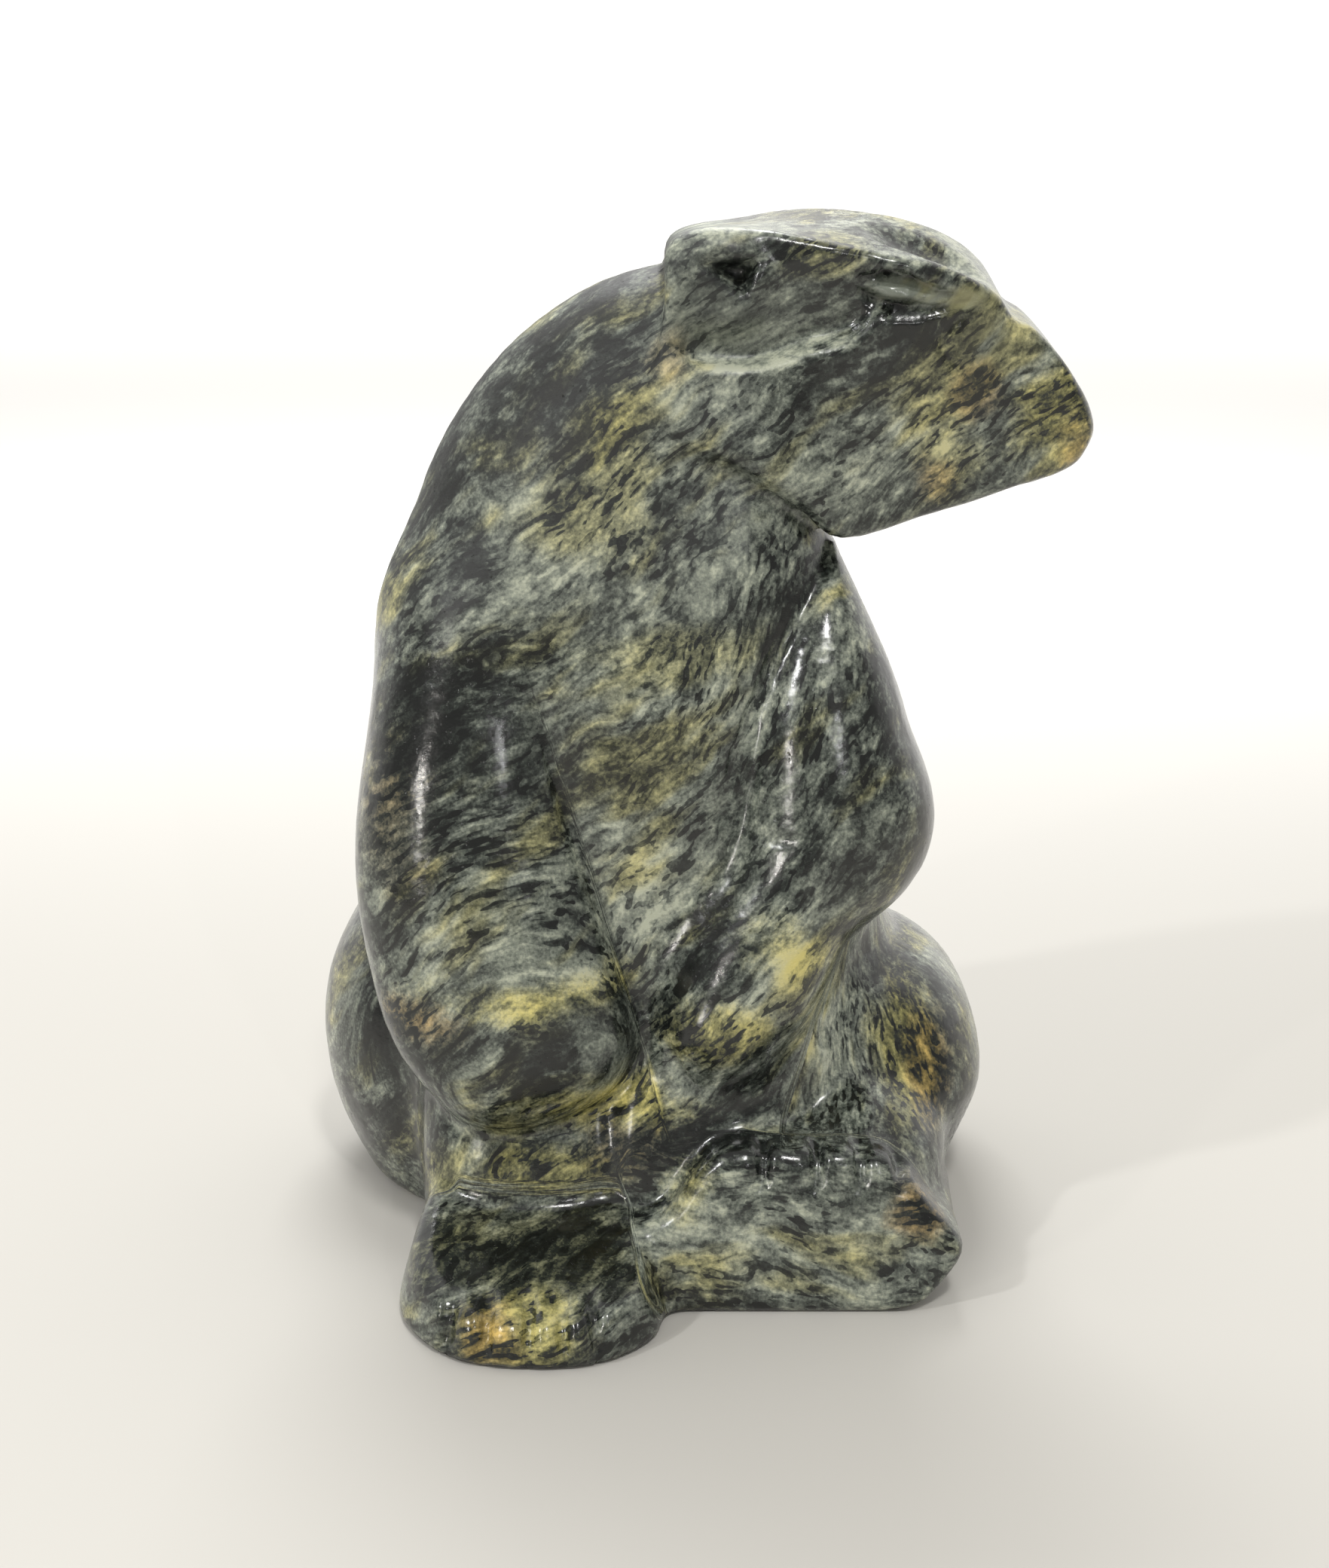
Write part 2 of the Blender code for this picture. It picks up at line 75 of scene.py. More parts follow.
def new_material(name):
    """An empty material whose nodes add_node fills, and its shader."""
    material = bpy.data.materials.new(name)
    material.use_nodes = True
    Value.tree = material.node_tree
    return material, material.node_tree.nodes["Principled BSDF"]


def add_node(kind, settings, inputs, output=0):
    """Any node: its settings first, then a number, a colour or a link for each input."""
    node = Value.tree.nodes.new(kind)
    for name, value in settings.items():
        if name == "stops":
            set_stops(node.color_ramp.elements, value)
        else:
            setattr(node, name, value)
    for name, value in inputs.items():
        feed(node.inputs[name], value)
    return Value(node.outputs[output])


def set_stops(stops, colours):
    """The stops of a colour ramp, from its places and their colours."""
    for position, _ in colours[1:-1]:
        stops.new(position)
    for stop, (position, colour) in zip(stops, colours):
        stop.position = position
        stop.color = colour


def feed(socket, value):
    if isinstance(value, Value):
        Value.tree.links.new(value.socket, socket)
    else:
        socket.default_value = value


def between(value, low, high, to_low=0.0, to_high=1.0):
    """A smooth step of a value from low to high."""
    ends = {"Value": value, "From Min": low, "From Max": high, "To Min": to_low, "To Max": to_high}
    return add_node("ShaderNodeMapRange", {"interpolation_type": "SMOOTHSTEP"}, ends)


def noise(place, scale, detail=2.0, roughness=0.5, output=0):
    look = {"Vector": place, "Scale": scale, "Detail": detail, "Roughness": roughness}
    return add_node("ShaderNodeTexNoise", {"normalize": True}, look, output)


def mixed(a, b, share):
    """Two colours mixed."""
    return add_node("ShaderNodeMix", {"data_type": "RGBA"}, {0: share, 6: a, 7: b}, 2)


def vectors(operation, a, b):
    return add_node("ShaderNodeVectorMath", {"operation": operation}, {0: a, 1: b})


def object_place():
    """Object coordinates in millimetres."""
    place = add_node("ShaderNodeTexCoord", {}, {}, "Object")
    return vectors("MULTIPLY", place, (1000.0, 1000.0, 1000.0))


TABLE_HALF = 1.6
TABLE_COLOUR = (0.53, 0.515, 0.48, 1.0)
# Painted light on the table: its colour grows lighter towards the back, and there it glows as well
TABLE_FAR_PAINTED_LIGHT = (0.86, 0.85, 0.83, 1.0)
TABLE_PAINTED_LIGHT_FADES = (30.0, 420.0)
TABLE_GLOW_COLOUR = (0.52, 0.51, 0.49, 1.0)
TABLE_GLOW_FADES = (350.0, 1500.0)

mesh = bmesh.new()
bmesh.ops.create_grid(mesh, x_segments=4, y_segments=4, size=TABLE_HALF)
table = bpy.data.objects.new("table_top", bpy.data.meshes.new("table_top"))
mesh.to_mesh(table.data)
mesh.free()
bpy.context.scene.collection.objects.link(table)
table_material, shader = new_material("pale_table")
back = add_node("ShaderNodeSeparateXYZ", {}, {0: object_place()}, 1)
# Painted light: the table's colour lighter towards the back
feed(shader.inputs["Base Color"], mixed(TABLE_COLOUR, TABLE_FAR_PAINTED_LIGHT, between(back, *TABLE_PAINTED_LIGHT_FADES)))
feed(shader.inputs["Roughness"], 0.85)
# Painted light: a glow that grows towards the back
feed(shader.inputs["Emission Color"], mixed((0.0, 0.0, 0.0, 1.0), TABLE_GLOW_COLOUR, between(back, *TABLE_GLOW_FADES)))
feed(shader.inputs["Emission Strength"], 1.0)
table.data.materials.append(table_material)

# The room is bright behind and above and dim on the viewer's side
ROOM_LIGHT = (1.0, 0.985, 0.955, 1.0)
FRONT_LIGHT = 0.36
BACK_LIGHT, BACK_FADES = 0.75, (-0.1, 0.6)
TOP_LIGHT, TOP_FADES = 0.20, (0.35, 0.95)
world = bpy.data.worlds.new("room")
world.use_nodes = True
Value.tree = world.node_tree
way = add_node("ShaderNodeTexCoord", {}, {}, "Generated")
way_back, way_up = (add_node("ShaderNodeSeparateXYZ", {}, {0: way}, axis) for axis in (1, 2))
background = world.node_tree.nodes["Background"]
feed(background.inputs["Color"], ROOM_LIGHT)
from_back = between(way_back, *BACK_FADES) * BACK_LIGHT
from_above = between(way_up, *TOP_FADES) * TOP_LIGHT
feed(background.inputs["Strength"], FRONT_LIGHT + from_back + from_above)
bpy.context.scene.world = world
bpy.context.scene.view_settings.view_transform = "Standard"

# Each lamp's place, its width, its power and its colour
LAMPS_FACE = Vector((0.0, 0.0, 0.05))
LAMPS = {
    "low_left_lamp": ((-0.395, -0.450, 0.160), 0.022, 0.5, (1.0, 0.96, 0.90)),
    "high_left_lamp": ((-0.405, -0.295, 0.415), 0.028, 1.0, (1.0, 1.0, 1.0)),
    "front_lamp": ((0.163, -0.532, 0.275), 0.012, 0.2, (1.0, 1.0, 1.0)),
    "ceiling_lamp": ((0.10, -0.46, 0.72), 0.080, 2.4, (1.0, 0.99, 0.97)),
    "overhead_panel": ((-0.05, 0.44, 0.60), 0.300, 3.0, (1.0, 1.0, 1.0)),
}
for name, (place, size, power, colour) in LAMPS.items():
    lamp = bpy.data.lights.new(name, "AREA")
    lamp.size = size
    lamp.energy = power
    lamp.color = colour
    holder = bpy.data.objects.new(name, lamp)
    holder.location = place
    holder.rotation_euler = (LAMPS_FACE - Vector(place)).to_track_quat("-Z", "Y").to_euler()
    bpy.context.scene.collection.objects.link(holder)

CAMERA_PLACE = (-0.00205, -0.2209, 0.107)
CAMERA_TILT = 15.47
CAMERA_LENS = 51.9
camera = bpy.data.objects.new("camera", bpy.data.cameras.new("camera"))
camera.data.lens = CAMERA_LENS
camera.data.clip_start = 0.01
camera.location = CAMERA_PLACE
camera.rotation_euler = (np.radians(90.0 - CAMERA_TILT), 0.0, 0.0)
bpy.context.scene.collection.objects.link(camera)
bpy.context.scene.camera = camera


# The carving: one piece of soapstone, sawn, filed and sanded to a seated bear, its creases and toes cut with
# a knife and small files, then waxed and polished. Its stone is folded in green-grey and black layers, with
# rusty and pale stains.

MM = 0.001

# Driving sizes
REACH = 8.0
LIMB_STEPS = 8
FLAT_WITHIN = 0.03
BASE_ROUND = 1.5
FINE_CREASE = 0.6
BOX_MIDDLE = (-0.36, -1.04, 0.0)

# The head: its middle, and how far it rolls towards the viewer, at the brow and at the muzzle
HEAD_MIDDLE = (14.0, 0.0, 86.0)
HEAD_ROLL = 15.0
MUZZLE_ROLL = 7.0
ROLL_STARTS, ROLL_FULL = -13.0, 5.0
MUZZLE_STARTS, MUZZLE_FULL = 12.0, 18.0

# The head's outline in its own middle plane: ahead, up
HEAD_OUTLINE = (
    (-16.4, 8.0), (-16.2, 13.0), (-13.5, 14.7), (-9.0, 15.1), (-3.0, 15.3), (2.5, 14.9), (7.0, 14.1),
    (11.2, 12.6), (14.5, 10.2), (16.4, 7.4), (18.6, 6.1), (22.1, 2.2), (24.7, -2.2), (24.5, -5.3),
    (21.3, -8.0), (10.0, -10.2), (0.5, -12.0), (-4.0, -9.4), (-10.0, -7.0), (-14.5, -5.0), (-17.2, 0.5),
)

# Half the head's width at its lower and upper edge, from the back of the jaw to the nose
HEAD_ALONG = (-17.0, -6.0, 0.0, 10.0, 18.0, 25.0)
HEAD_WIDTH_LOW = (12.4, 12.7, 11.8, 9.2, 7.0, 5.2)
HEAD_WIDTH_HIGH = (10.2, 9.2, 8.2, 6.9, 5.6, 4.2)
HEAD_LOW, HEAD_HIGH = -10.0, 13.0

# The hollow temple: the lip it ends at below, its depth there, how wide the step down from the lip is
# and how far up it fades out
TEMPLE_LIP = (
    (-15.5, 3.6), (-13.5, 2.5), (-9.3, 2.5), (-7.1, 3.2), (-3.3, 5.2), (0.7, 6.7), (2.8, 8.6), (4.0, 9.4),
)
TEMPLE_DEPTH = 2.8
TEMPLE_WALL = 0.9
TEMPLE_FADE = 8.5

# The eye: its inner corner, its outer corner, its half height, how its facets slope in and how wide
# the cut round them is
EYE_BACK = (0.9, 11.9)
EYE_FRONT = (14.4, 9.6)
EYE_HALF_HEIGHT = 2.1
EYE_SLOPE = 1.8
EYE_RIM = 0.5

# The ear: how its lobe swells from the side of the head, the three corners of its hollow, how deep
# the hollow is and how far in from its edge that depth is reached
EAR_MIDDLE = (-11.8, 10.2)
EAR_RADII = (6.5, 6.0)
EAR_SWELL = 1.3
EAR_HOLLOW = ((-13.3, 11.8), (-7.4, 13.0), (-9.0, 8.8))
EAR_DEPTH = 3.2
EAR_WALL = 1.0

# How near a side of the head a point has to be to take the relief, how near the head at
# all, and how much weaker the relief is on the side turned away from the belly
SIDE_FROM, SIDE_FULL = -3.0, -1.0
HEAD_FULL, HEAD_ENDS = 0.3, 1.5
FAR_RELIEF = 0.45

# The crescent cut where the muzzle begins, and the hollow between the brows
MUZZLE_CRESCENT = ((10.9, 9.0), (9.3, 7.0), (10.7, 4.6))
FURROW_MIDDLE = (7.8, -1.0, 14.9)
FURROW_RADII = (8.0, 3.5, 2.3)
FURROW_SLOPE = 20.0
FURROW_TURN = -20.0

# Each limb's stations: the middle of its section, half its width, half its depth and how square it is
TRUNK = (
    (-2.0, 12.0, 8.0, 26.0, 23.0, 2.0), (-3.0, 10.0, 23.0, 25.0, 25.0, 2.0),
    (-4.0, 9.0, 36.0, 23.5, 24.2, 2.0), (-7.0, 6.0, 50.0, 22.0, 20.5, 2.0),
    (-9.5, 4.0, 63.0, 20.0, 17.5, 2.0), (-9.5, 2.5, 74.0, 16.2, 15.0, 2.0),
    (-4.4, 1.5, 83.5, 12.8, 12.3, 2.0), (4.0, 0.5, 88.0, 10.0, 11.0, 2.0),
)
CHEST = (
    (2.0, 2.0, 44.0, 13.0, 15.0, 2.0), (2.5, 1.0, 56.0, 12.6, 14.2, 2.0),
    (3.0, 0.5, 68.0, 11.4, 12.5, 2.0), (4.0, 0.5, 78.0, 8.6, 10.0, 2.0),
)
LEFT_ARM = (
    (-20.6, -1.0, 62.0, 10.0, 12.0, 2.0), (-20.9, -4.5, 50.0, 11.0, 12.5, 2.3),
    (-20.6, -7.0, 40.0, 12.1, 12.5, 2.5), (-18.2, -10.5, 29.5, 12.8, 10.8, 2.4),
    (-15.6, -12.6, 23.5, 11.2, 9.2, 2.3),
)
RIGHT_UPPER_ARM = (
    (13.7, 0.0, 70.0, 0.8, 5.0, 2.0), (12.9, -1.5, 62.0, 4.9, 9.5, 2.2),
    (12.8, -3.2, 52.0, 8.8, 12.6, 2.3), (13.4, -3.5, 43.7, 10.1, 13.5, 2.2),
)
RIGHT_FOREARM = (
    (13.4, -3.5, 43.7, 10.1, 13.5, 2.2), (8.7, -6.0, 36.0, 8.3, 13.0, 2.2),
    (5.0, -9.0, 29.0, 8.3, 11.5, 2.2), (2.4, -11.5, 24.5, 6.6, 9.6, 2.2),
)
LEFT_HIP = (
    (-18.0, 14.0, 22.0, 16.0, 17.0, 2.0), (-19.0, 12.0, 16.0, 20.7, 20.0, 2.0),
    (-16.3, 10.5, 5.0, 18.2, 18.0, 2.0),
)
RIGHT_HIP = (
    (12.0, 9.0, 25.4, 11.0, 13.0, 2.4), (12.0, 9.0, 23.6, 15.0, 17.0, 2.6),
    (12.0, 9.0, 19.5, 18.2, 19.5, 2.8), (12.0, 9.0, 13.0, 19.4, 21.0, 2.8),
    (12.0, 8.0, 6.0, 17.1, 20.0, 2.6), (12.0, 7.0, 0.0, 13.6, 17.5, 2.4),
)
HIP_CAP = 3.0
THIGH_FACE = (25.2, -8.0, 19.5)
THIGH_FACE_NORMAL = (0.30, -0.85, 0.42)
SHIN_MIDDLE = (17.0, -9.0, 8.8)
SHIN_RADII = (8.9, 13.0, 9.4)
FOLD_MIDDLE = (9.6, -8.0, 19.0)
FOLD_RADII = (5.0, 6.5, 7.0)
LEFT_LEG = (
    (-15.4, -8.0, 1.0, 11.2, 12.0, 2.6), (-15.4, -7.0, 9.0, 11.8, 13.2, 2.6),
    (-16.0, -3.0, 18.0, 11.6, 11.0, 2.4),
)
LAP = (
    (2.6, -12.0, 0.0, 9.4, 11.0, 2.8), (2.4, -11.0, 8.0, 9.2, 9.5, 2.8),
    (1.4, -10.2, 16.0, 8.4, 8.5, 2.6),
)

# The stone left between the legs
WEB_MIDDLE = (-5.0, -11.5, 8.0)
WEB_RADII = (4.8, 8.6, 14.5)

# The flat foot: its outline on the ground, how its sides draw in above that, the top edge of its toes
# and how its top slopes
LEFT_FOOT_PLAN = (
    (-23.0, -3.0), (-26.6, -12.0), (-28.4, -20.0), (-27.6, -28.3), (-22.8, -35.0), (-16.0, -37.2),
    (-9.0, -36.6), (-4.4, -33.4), (-2.4, -29.6), (-2.6, -24.0), (-4.2, -18.0), (-4.0, -8.0),
)
LEFT_FOOT_MIDDLE = -15.4
LEFT_FOOT_TAPER = 0.026
LEFT_FOOT_FRONT = (-15.0, -35.5, 4.8)
LEFT_FOOT_TOP_NORMAL = (0.0, -3.8, 15.5)
LEFT_TOE_GAPS = (-22.8, -19.0, -14.8, -11.4, -8.2)

# The foot on its side: the sole's outline across and up, its lean, and the gaps between its toes
SOLE_OUTLINE = (
    (-8.0, -3.0), (-8.0, 6.4), (-2.6, 9.0), (1.0, 13.5), (4.0, 15.6), (10.6, 15.6), (17.4, 15.2),
    (20.2, 13.6), (23.5, 9.8), (26.4, 6.2), (24.6, 2.8), (20.4, -1.0), (16.0, -3.0),
)
SOLE_POINT = (10.0, -26.5, 0.0)
SOLE_NORMAL = (0.0, -1.0, 0.2)
SOLE_TOE_GAPS = (7.0, 12.2, 16.4, 20.2)
TOE_GAP_WIDTH = 0.6
TOE_GAP_DEPTH = 1.1


def length(v):
    return np.sqrt((v * v).sum(axis=-1))


def mix(a, b, t):
    return a + (b - a) * t


def ramp(x, low, high):
    """0 below low, 1 above high, smooth between."""
    t = np.clip((x - low) / (high - low), 0.0, 1.0)
    return t * t * (3.0 - 2.0 * t)


def join(a, b, round_off):
    """The union of two shapes, with the corner between them filled by a fillet of this size."""
    near = np.maximum(round_off - np.abs(a - b), 0.0) / round_off
    return np.minimum(a, b) - near * near * round_off * 0.25


def keep(a, b, round_off):
    """What two shapes share, with the edge between them rounded."""
    return -join(-a, -b, round_off)


def cut(a, tool, round_off):
    """A shape with a tool's shape taken out of it."""
    return -join(-a, tool, round_off)


def oval(p, middle, radii, turn=(0.0, 0.0, 0.0)):
    """Distance to an ellipsoid, turned about X, Y and Z in degrees."""
    q = p - np.array(middle)
    if any(turn):
        q = q @ turned(turn)
    radii = np.array(radii)
    k0 = length(q / radii)
    k1 = length(q / (radii * radii))
    return k0 * (k0 - 1.0) / np.maximum(k1, 1e-6)


def turned(turn):
    """The matrix whose columns are a turned shape's own axes."""
    rx, ry, rz = np.radians(turn)
    x = np.array([[1, 0, 0], [0, np.cos(rx), -np.sin(rx)], [0, np.sin(rx), np.cos(rx)]])
    y = np.array([[np.cos(ry), 0, np.sin(ry)], [0, 1, 0], [-np.sin(ry), 0, np.cos(ry)]])
    z = np.array([[np.cos(rz), -np.sin(rz), 0], [np.sin(rz), np.cos(rz), 0], [0, 0, 1]])
    return z @ y @ x


def plane(p, point, normal):
    """Distance above a plane, along its normal."""
    normal = np.array(normal, float)
    return (p - np.array(point)) @ (normal / np.linalg.norm(normal))


def smooth_path(stations, steps):
    """Stations joined by a smooth line, with every value of a station carried along it."""
    rows = np.array(stations, float)
    before = np.vstack([2 * rows[0] - rows[1], rows[:-2]])
    after = np.vstack([rows[2:], 2 * rows[-1] - rows[-2]])
    path = []
    for a, b, c, d in zip(before, rows[:-1], rows[1:], after):
        for step in range(steps):
            t = step / steps
            path.append(b + 0.5 * t * (c - a + t * (2 * a - 5 * b + 4 * c - d + t * (3 * (b - c) + d - a))))
    path.append(rows[-1])
    return np.array(path)


def limb(p, stations, cap=0.0):
    """Distance to a limb: an oval or fuller section carried along its stations."""
    path = smooth_path(stations, LIMB_STEPS)
    reach_out = path[:, 3:5].max() + REACH
    low, high = path[:, :3].min(axis=0) - reach_out, path[:, :3].max(axis=0) + reach_out
    near = ((p > low) & (p < high)).all(axis=1)
    distance = np.full(len(p), REACH)
    p = p[near]
    best = np.full(len(p), np.inf)
    for start, end in zip(path[:-1], path[1:]):
        run = end[:3] - start[:3]
        reach = np.linalg.norm(run)
        along = run / reach
        depth = np.array([0.0, 1.0, 0.0]) - along * along[1]
        depth /= np.linalg.norm(depth)
        side = np.cross(along, depth)
        offset = p - start[:3]
        t = np.clip(offset @ along / reach, 0.0, 1.0)
        size = start[3:] + (end - start)[3:] * t[:, None]
        offset = offset - run * t[:, None]
        s, d, a = offset @ side, offset @ depth, offset @ along
        wide, deep, square = size[:, 0], size[:, 1], size[:, 2]
        end_cap = cap or np.minimum(wide, deep)
        s, d, a = np.abs(s / wide), np.abs(d / deep), np.abs(a / end_cap)
        k0 = (s**square + d**square + a**square) ** (1.0 / square)
        k1 = np.sqrt((s / wide) ** 2 + (d / deep) ** 2 + (a / end_cap) ** 2)
        best = np.minimum(best, k0 * (k0 - 1.0) / np.maximum(k1, 1e-6))
    distance[near] = best
    return distance


def outline(x, y, corners):
    """Distance to a flat outline, negative inside."""
    corners = np.array(corners, float)
    best = np.full(len(x), np.inf)
    inside = np.zeros(len(x), bool)
    for (ax, ay), (bx, by) in zip(corners, np.roll(corners, -1, axis=0)):
        ex, ey = bx - ax, by - ay
        t = np.clip(((x - ax) * ex + (y - ay) * ey) / (ex * ex + ey * ey), 0.0, 1.0)
        best = np.minimum(best, np.hypot(x - ax - t * ex, y - ay - t * ey))
        if ey:
            inside ^= ((ay > y) != (by > y)) & (x < ex * (y - ay) / ey + ax)
    return np.where(inside, -best, best)


def along_line(x, y, start, end):
    """How far points lie along a line, from 0 to 1, and how far beside it."""
    start, end = np.array(start), np.array(end)
    run = end - start
    reach = np.linalg.norm(run)
    dx, dy = x - start[0], y - start[1]
    return (dx * run[0] + dy * run[1]) / reach**2, (dx * run[1] - dy * run[0]) / reach


def temple(ahead, up):
    """The temple is hollowed down to a crisp lip above the cheek."""
    lip = np.interp(ahead, *np.transpose(TEMPLE_LIP))
    above = up - lip
    length_fade = ramp(ahead, -17.0, -13.0) * (1.0 - ramp(ahead, 0.5, 5.0))
    fade = length_fade * np.clip(1.0 - above / TEMPLE_FADE, 0.0, 1.0)
    return TEMPLE_DEPTH * fade * ramp(above, -0.2, TEMPLE_WALL)


def eye(ahead, up):
    """A long leaf-shaped eye of two facets that slope in from a ridge along its middle."""
    t, beside = along_line(ahead, up, EYE_BACK, EYE_FRONT)
    half = EYE_HALF_HEIGHT * np.sqrt(np.clip(t / 0.22, 0.0, 1.0)) * np.clip((1.0 - t) / 0.7, 0.0, 1.0)
    beside = np.abs(beside)
    return EYE_SLOPE * beside * ramp(half - beside, 0.0, EYE_RIM)


def ear(ahead, up):
    """A low swelling with a three-cornered hollow, deepest towards its lower corner."""
    out = np.hypot((ahead - EAR_MIDDLE[0]) / EAR_RADII[0], (up - EAR_MIDDLE[1]) / EAR_RADII[1])
    swell = ramp(1.0 - out, 0.0, 0.5)
    deep = -outline(ahead, up, EAR_HOLLOW)
    return EAR_SWELL * swell - EAR_DEPTH * ramp(deep, -0.2, EAR_WALL)


def crescent(ahead, up):
    """A short curved cut behind the muzzle."""
    near = np.full(len(ahead), np.inf)
    path = smooth_path(MUZZLE_CRESCENT, 4)
    for start, end in zip(path[:-1], path[1:]):
        t, _ = along_line(ahead, up, start, end)
        t = np.clip(t, 0.0, 1.0)
        near = np.minimum(near, np.hypot(ahead - mix(start[0], end[0], t), up - mix(start[1], end[1], t)))
    return 0.5 * (1.0 - ramp(near, 0.0, 0.9))


def head_frame(p):
    """Places in the head's own frame: ahead, aside and up, its roll there and half its width."""
    ahead, y, z = (p - np.array(HEAD_MIDDLE)).T
    turn = mix(HEAD_ROLL, MUZZLE_ROLL, ramp(ahead, MUZZLE_STARTS, MUZZLE_FULL))
    roll = np.radians(turn * ramp(ahead, ROLL_STARTS, ROLL_FULL))
    aside = y * np.cos(roll) + z * np.sin(roll)
    up = z * np.cos(roll) - y * np.sin(roll)
    low = np.interp(ahead, HEAD_ALONG, HEAD_WIDTH_LOW)
    high = np.interp(ahead, HEAD_ALONG, HEAD_WIDTH_HIGH)
    wide = mix(low, high, np.clip((up - HEAD_LOW) / (HEAD_HIGH - HEAD_LOW), -0.1, 1.2))
    return ahead, aside, up, roll, wide


def head(p):
    """The long wedge of the head, hollowed between its brows."""
    ahead, aside, up, _, wide = head_frame(p)
    profile = outline(ahead, up, smooth_outline(HEAD_OUTLINE))
    skull = keep(profile, np.abs(aside) - wide, mix(2.2, 1.0, ramp(up, -4.0, 4.0)))
    forehead = np.column_stack([ahead, aside, up])
    return cut(skull, oval(forehead, FURROW_MIDDLE, FURROW_RADII, (0.0, FURROW_SLOPE, FURROW_TURN)), 0.8)


def relieved(p):
    """Points on the sides of the head, pushed in or out by the ear, temple, eye and muzzle."""
    ahead, aside, up, roll, wide = head_frame(p)
    depth = temple(ahead, up) + eye(ahead, up) + crescent(ahead, up) - ear(ahead, up)
    own = ramp(np.abs(aside) - wide, SIDE_FROM, SIDE_FULL) * (1.0 - ramp(head(p), HEAD_FULL, HEAD_ENDS))
    own = own * np.where(aside > 0.0, FAR_RELIEF, 1.0)
    inward = np.column_stack([np.zeros(len(p)), np.cos(roll), np.sin(roll)]) * -np.sign(aside)[:, None]
    return p + inward * (depth * own)[:, None]


def smooth_outline(corners, steps=4):
    """A closed outline with smooth curves through its corners."""
    rows = np.array(corners, float)
    path = []
    for a, b, c, d in zip(np.roll(rows, 1, 0), rows, np.roll(rows, -1, 0), np.roll(rows, -2, 0)):
        for step in range(steps):
            t = step / steps
            path.append(b + 0.5 * t * (c - a + t * (2 * a - 5 * b + 4 * c - d + t * (3 * (b - c) + d - a))))
    return np.array(path)


def right_arm(p):
    """The arm whose elbow stands out and whose forearm comes back in to the lap."""
    return join(limb(p, RIGHT_UPPER_ARM), limb(p, RIGHT_FOREARM), 3.0)


def right_hip(p):
    """The haunch beside the bent arm, with a broad face cut on its front."""
    haunch = keep(limb(p, RIGHT_HIP, HIP_CAP), plane(p, THIGH_FACE, THIGH_FACE_NORMAL), 1.0)
    haunch = join(haunch, oval(p, FOLD_MIDDLE, FOLD_RADII), 3.0)
    return join(haunch, oval(p, SHIN_MIDDLE, SHIN_RADII), 2.0)


def toe_gaps(x, gaps):
    """How deep the cuts between toes go, across a foot."""
    return TOE_GAP_DEPTH * sum(np.exp(-(((x - gap) / TOE_GAP_WIDTH) ** 2)) for gap in gaps)


def left_foot(p):
    """The foot that stands flat and points at the viewer."""
    x, y, z = p.T
    x = LEFT_FOOT_MIDDLE + (x - LEFT_FOOT_MIDDLE) * (1.0 + LEFT_FOOT_TAPER * z)
    plan = outline(x, y, smooth_outline(LEFT_FOOT_PLAN))
    top = plane(p, LEFT_FOOT_FRONT, LEFT_FOOT_TOP_NORMAL)
    return keep(plan, top, 2.0) + toe_gaps(x, LEFT_TOE_GAPS) * ramp(-y, 31.0, 34.5) * ramp(z, 0.4, 2.0)


def right_foot(p):
    """The foot that lies on its side and shows its sole."""
    x, y, z = p.T
    plan = outline(x, z, smooth_outline(SOLE_OUTLINE))
    sole = plane(p, SOLE_POINT, SOLE_NORMAL)
    foot = keep(keep(plan, sole, 2.0), y - 4.0, 2.0)
    return foot + toe_gaps(x, SOLE_TOE_GAPS) * ramp(z, 11.0, 13.5) * ramp(-y, 19.0, 21.0)


def carving(p):
    """Signed distance to the whole carving, in millimetres, negative in the stone."""
    x, y, z = p.T
    shape = join(limb(p, TRUNK), limb(p, CHEST), 4.0)
    shape = join(shape, limb(p, LEFT_HIP), 5.0)
    shape = join(shape, right_hip(p), 2.0)
    shape = join(shape, limb(p, LEFT_LEG), 3.0)
    shape = join(shape, limb(p, LAP), mix(0.8, 3.0, ramp(x, 0.0, 6.0)))
    shape = join(shape, oval(p, WEB_MIDDLE, WEB_RADII), 2.0)
    shape = join(shape, left_foot(p), 1.0)
    shape = join(shape, right_foot(p), mix(3.0, 1.2, ramp(z, 2.0, 9.0)))
    shape = join(shape, limb(p, LEFT_ARM), mix(0.8, 5.0, ramp(z, 46.0, 62.0)))
    shape = join(shape, right_arm(p), mix(3.0, 0.8, ramp(z, 36.0, 48.0)))
    flush = (1.0 - ramp(x, -4.0, 1.5)) * (1.0 - ramp(z, 87.0, 91.0))
    shape = join(shape, head(p), mix(FINE_CREASE, 2.5, flush))
    return keep(shape, -z, BASE_ROUND)


def slopes(p, shape, step=0.02):
    """The distance at each point, and how it changes along X, Y and Z."""
    here = shape(p)
    change = np.empty_like(p)
    for axis in range(3):
        moved = p.copy()
        moved[:, axis] += step
        change[:, axis] = (shape(moved) - here) / step
    return here, change


def to_surface(p, shape, rounds=4, most=1.5):
    """Points moved onto the surface where the distance is nil."""
    for _ in range(rounds):
        here, change = slopes(p, shape)
        size = np.maximum((change * change).sum(axis=1), 0.05)
        move = change * (here / size)[:, None]
        far = np.maximum(length(move) / most, 1.0)
        p = p - move / far[:, None]
    return p


def applied(thing, kind, **settings):
    """A modifier added to an object, and its result kept as the object's mesh."""
    modifier = thing.modifiers.new(kind.lower(), kind)
    for name, value in settings.items():
        setattr(modifier, name, value)
    bpy.context.view_layer.update()
    held = thing.evaluated_get(bpy.context.evaluated_depsgraph_get())
    data = bpy.data.meshes.new_from_object(held)
    thing.modifiers.clear()
    old = thing.data
    thing.data = data
    bpy.data.meshes.remove(old)


def points_of(data):
    flat = np.empty(len(data.vertices) * 3, np.float32)
    data.vertices.foreach_get("co", flat)
    return flat.reshape(-1, 3).astype(float) / MM


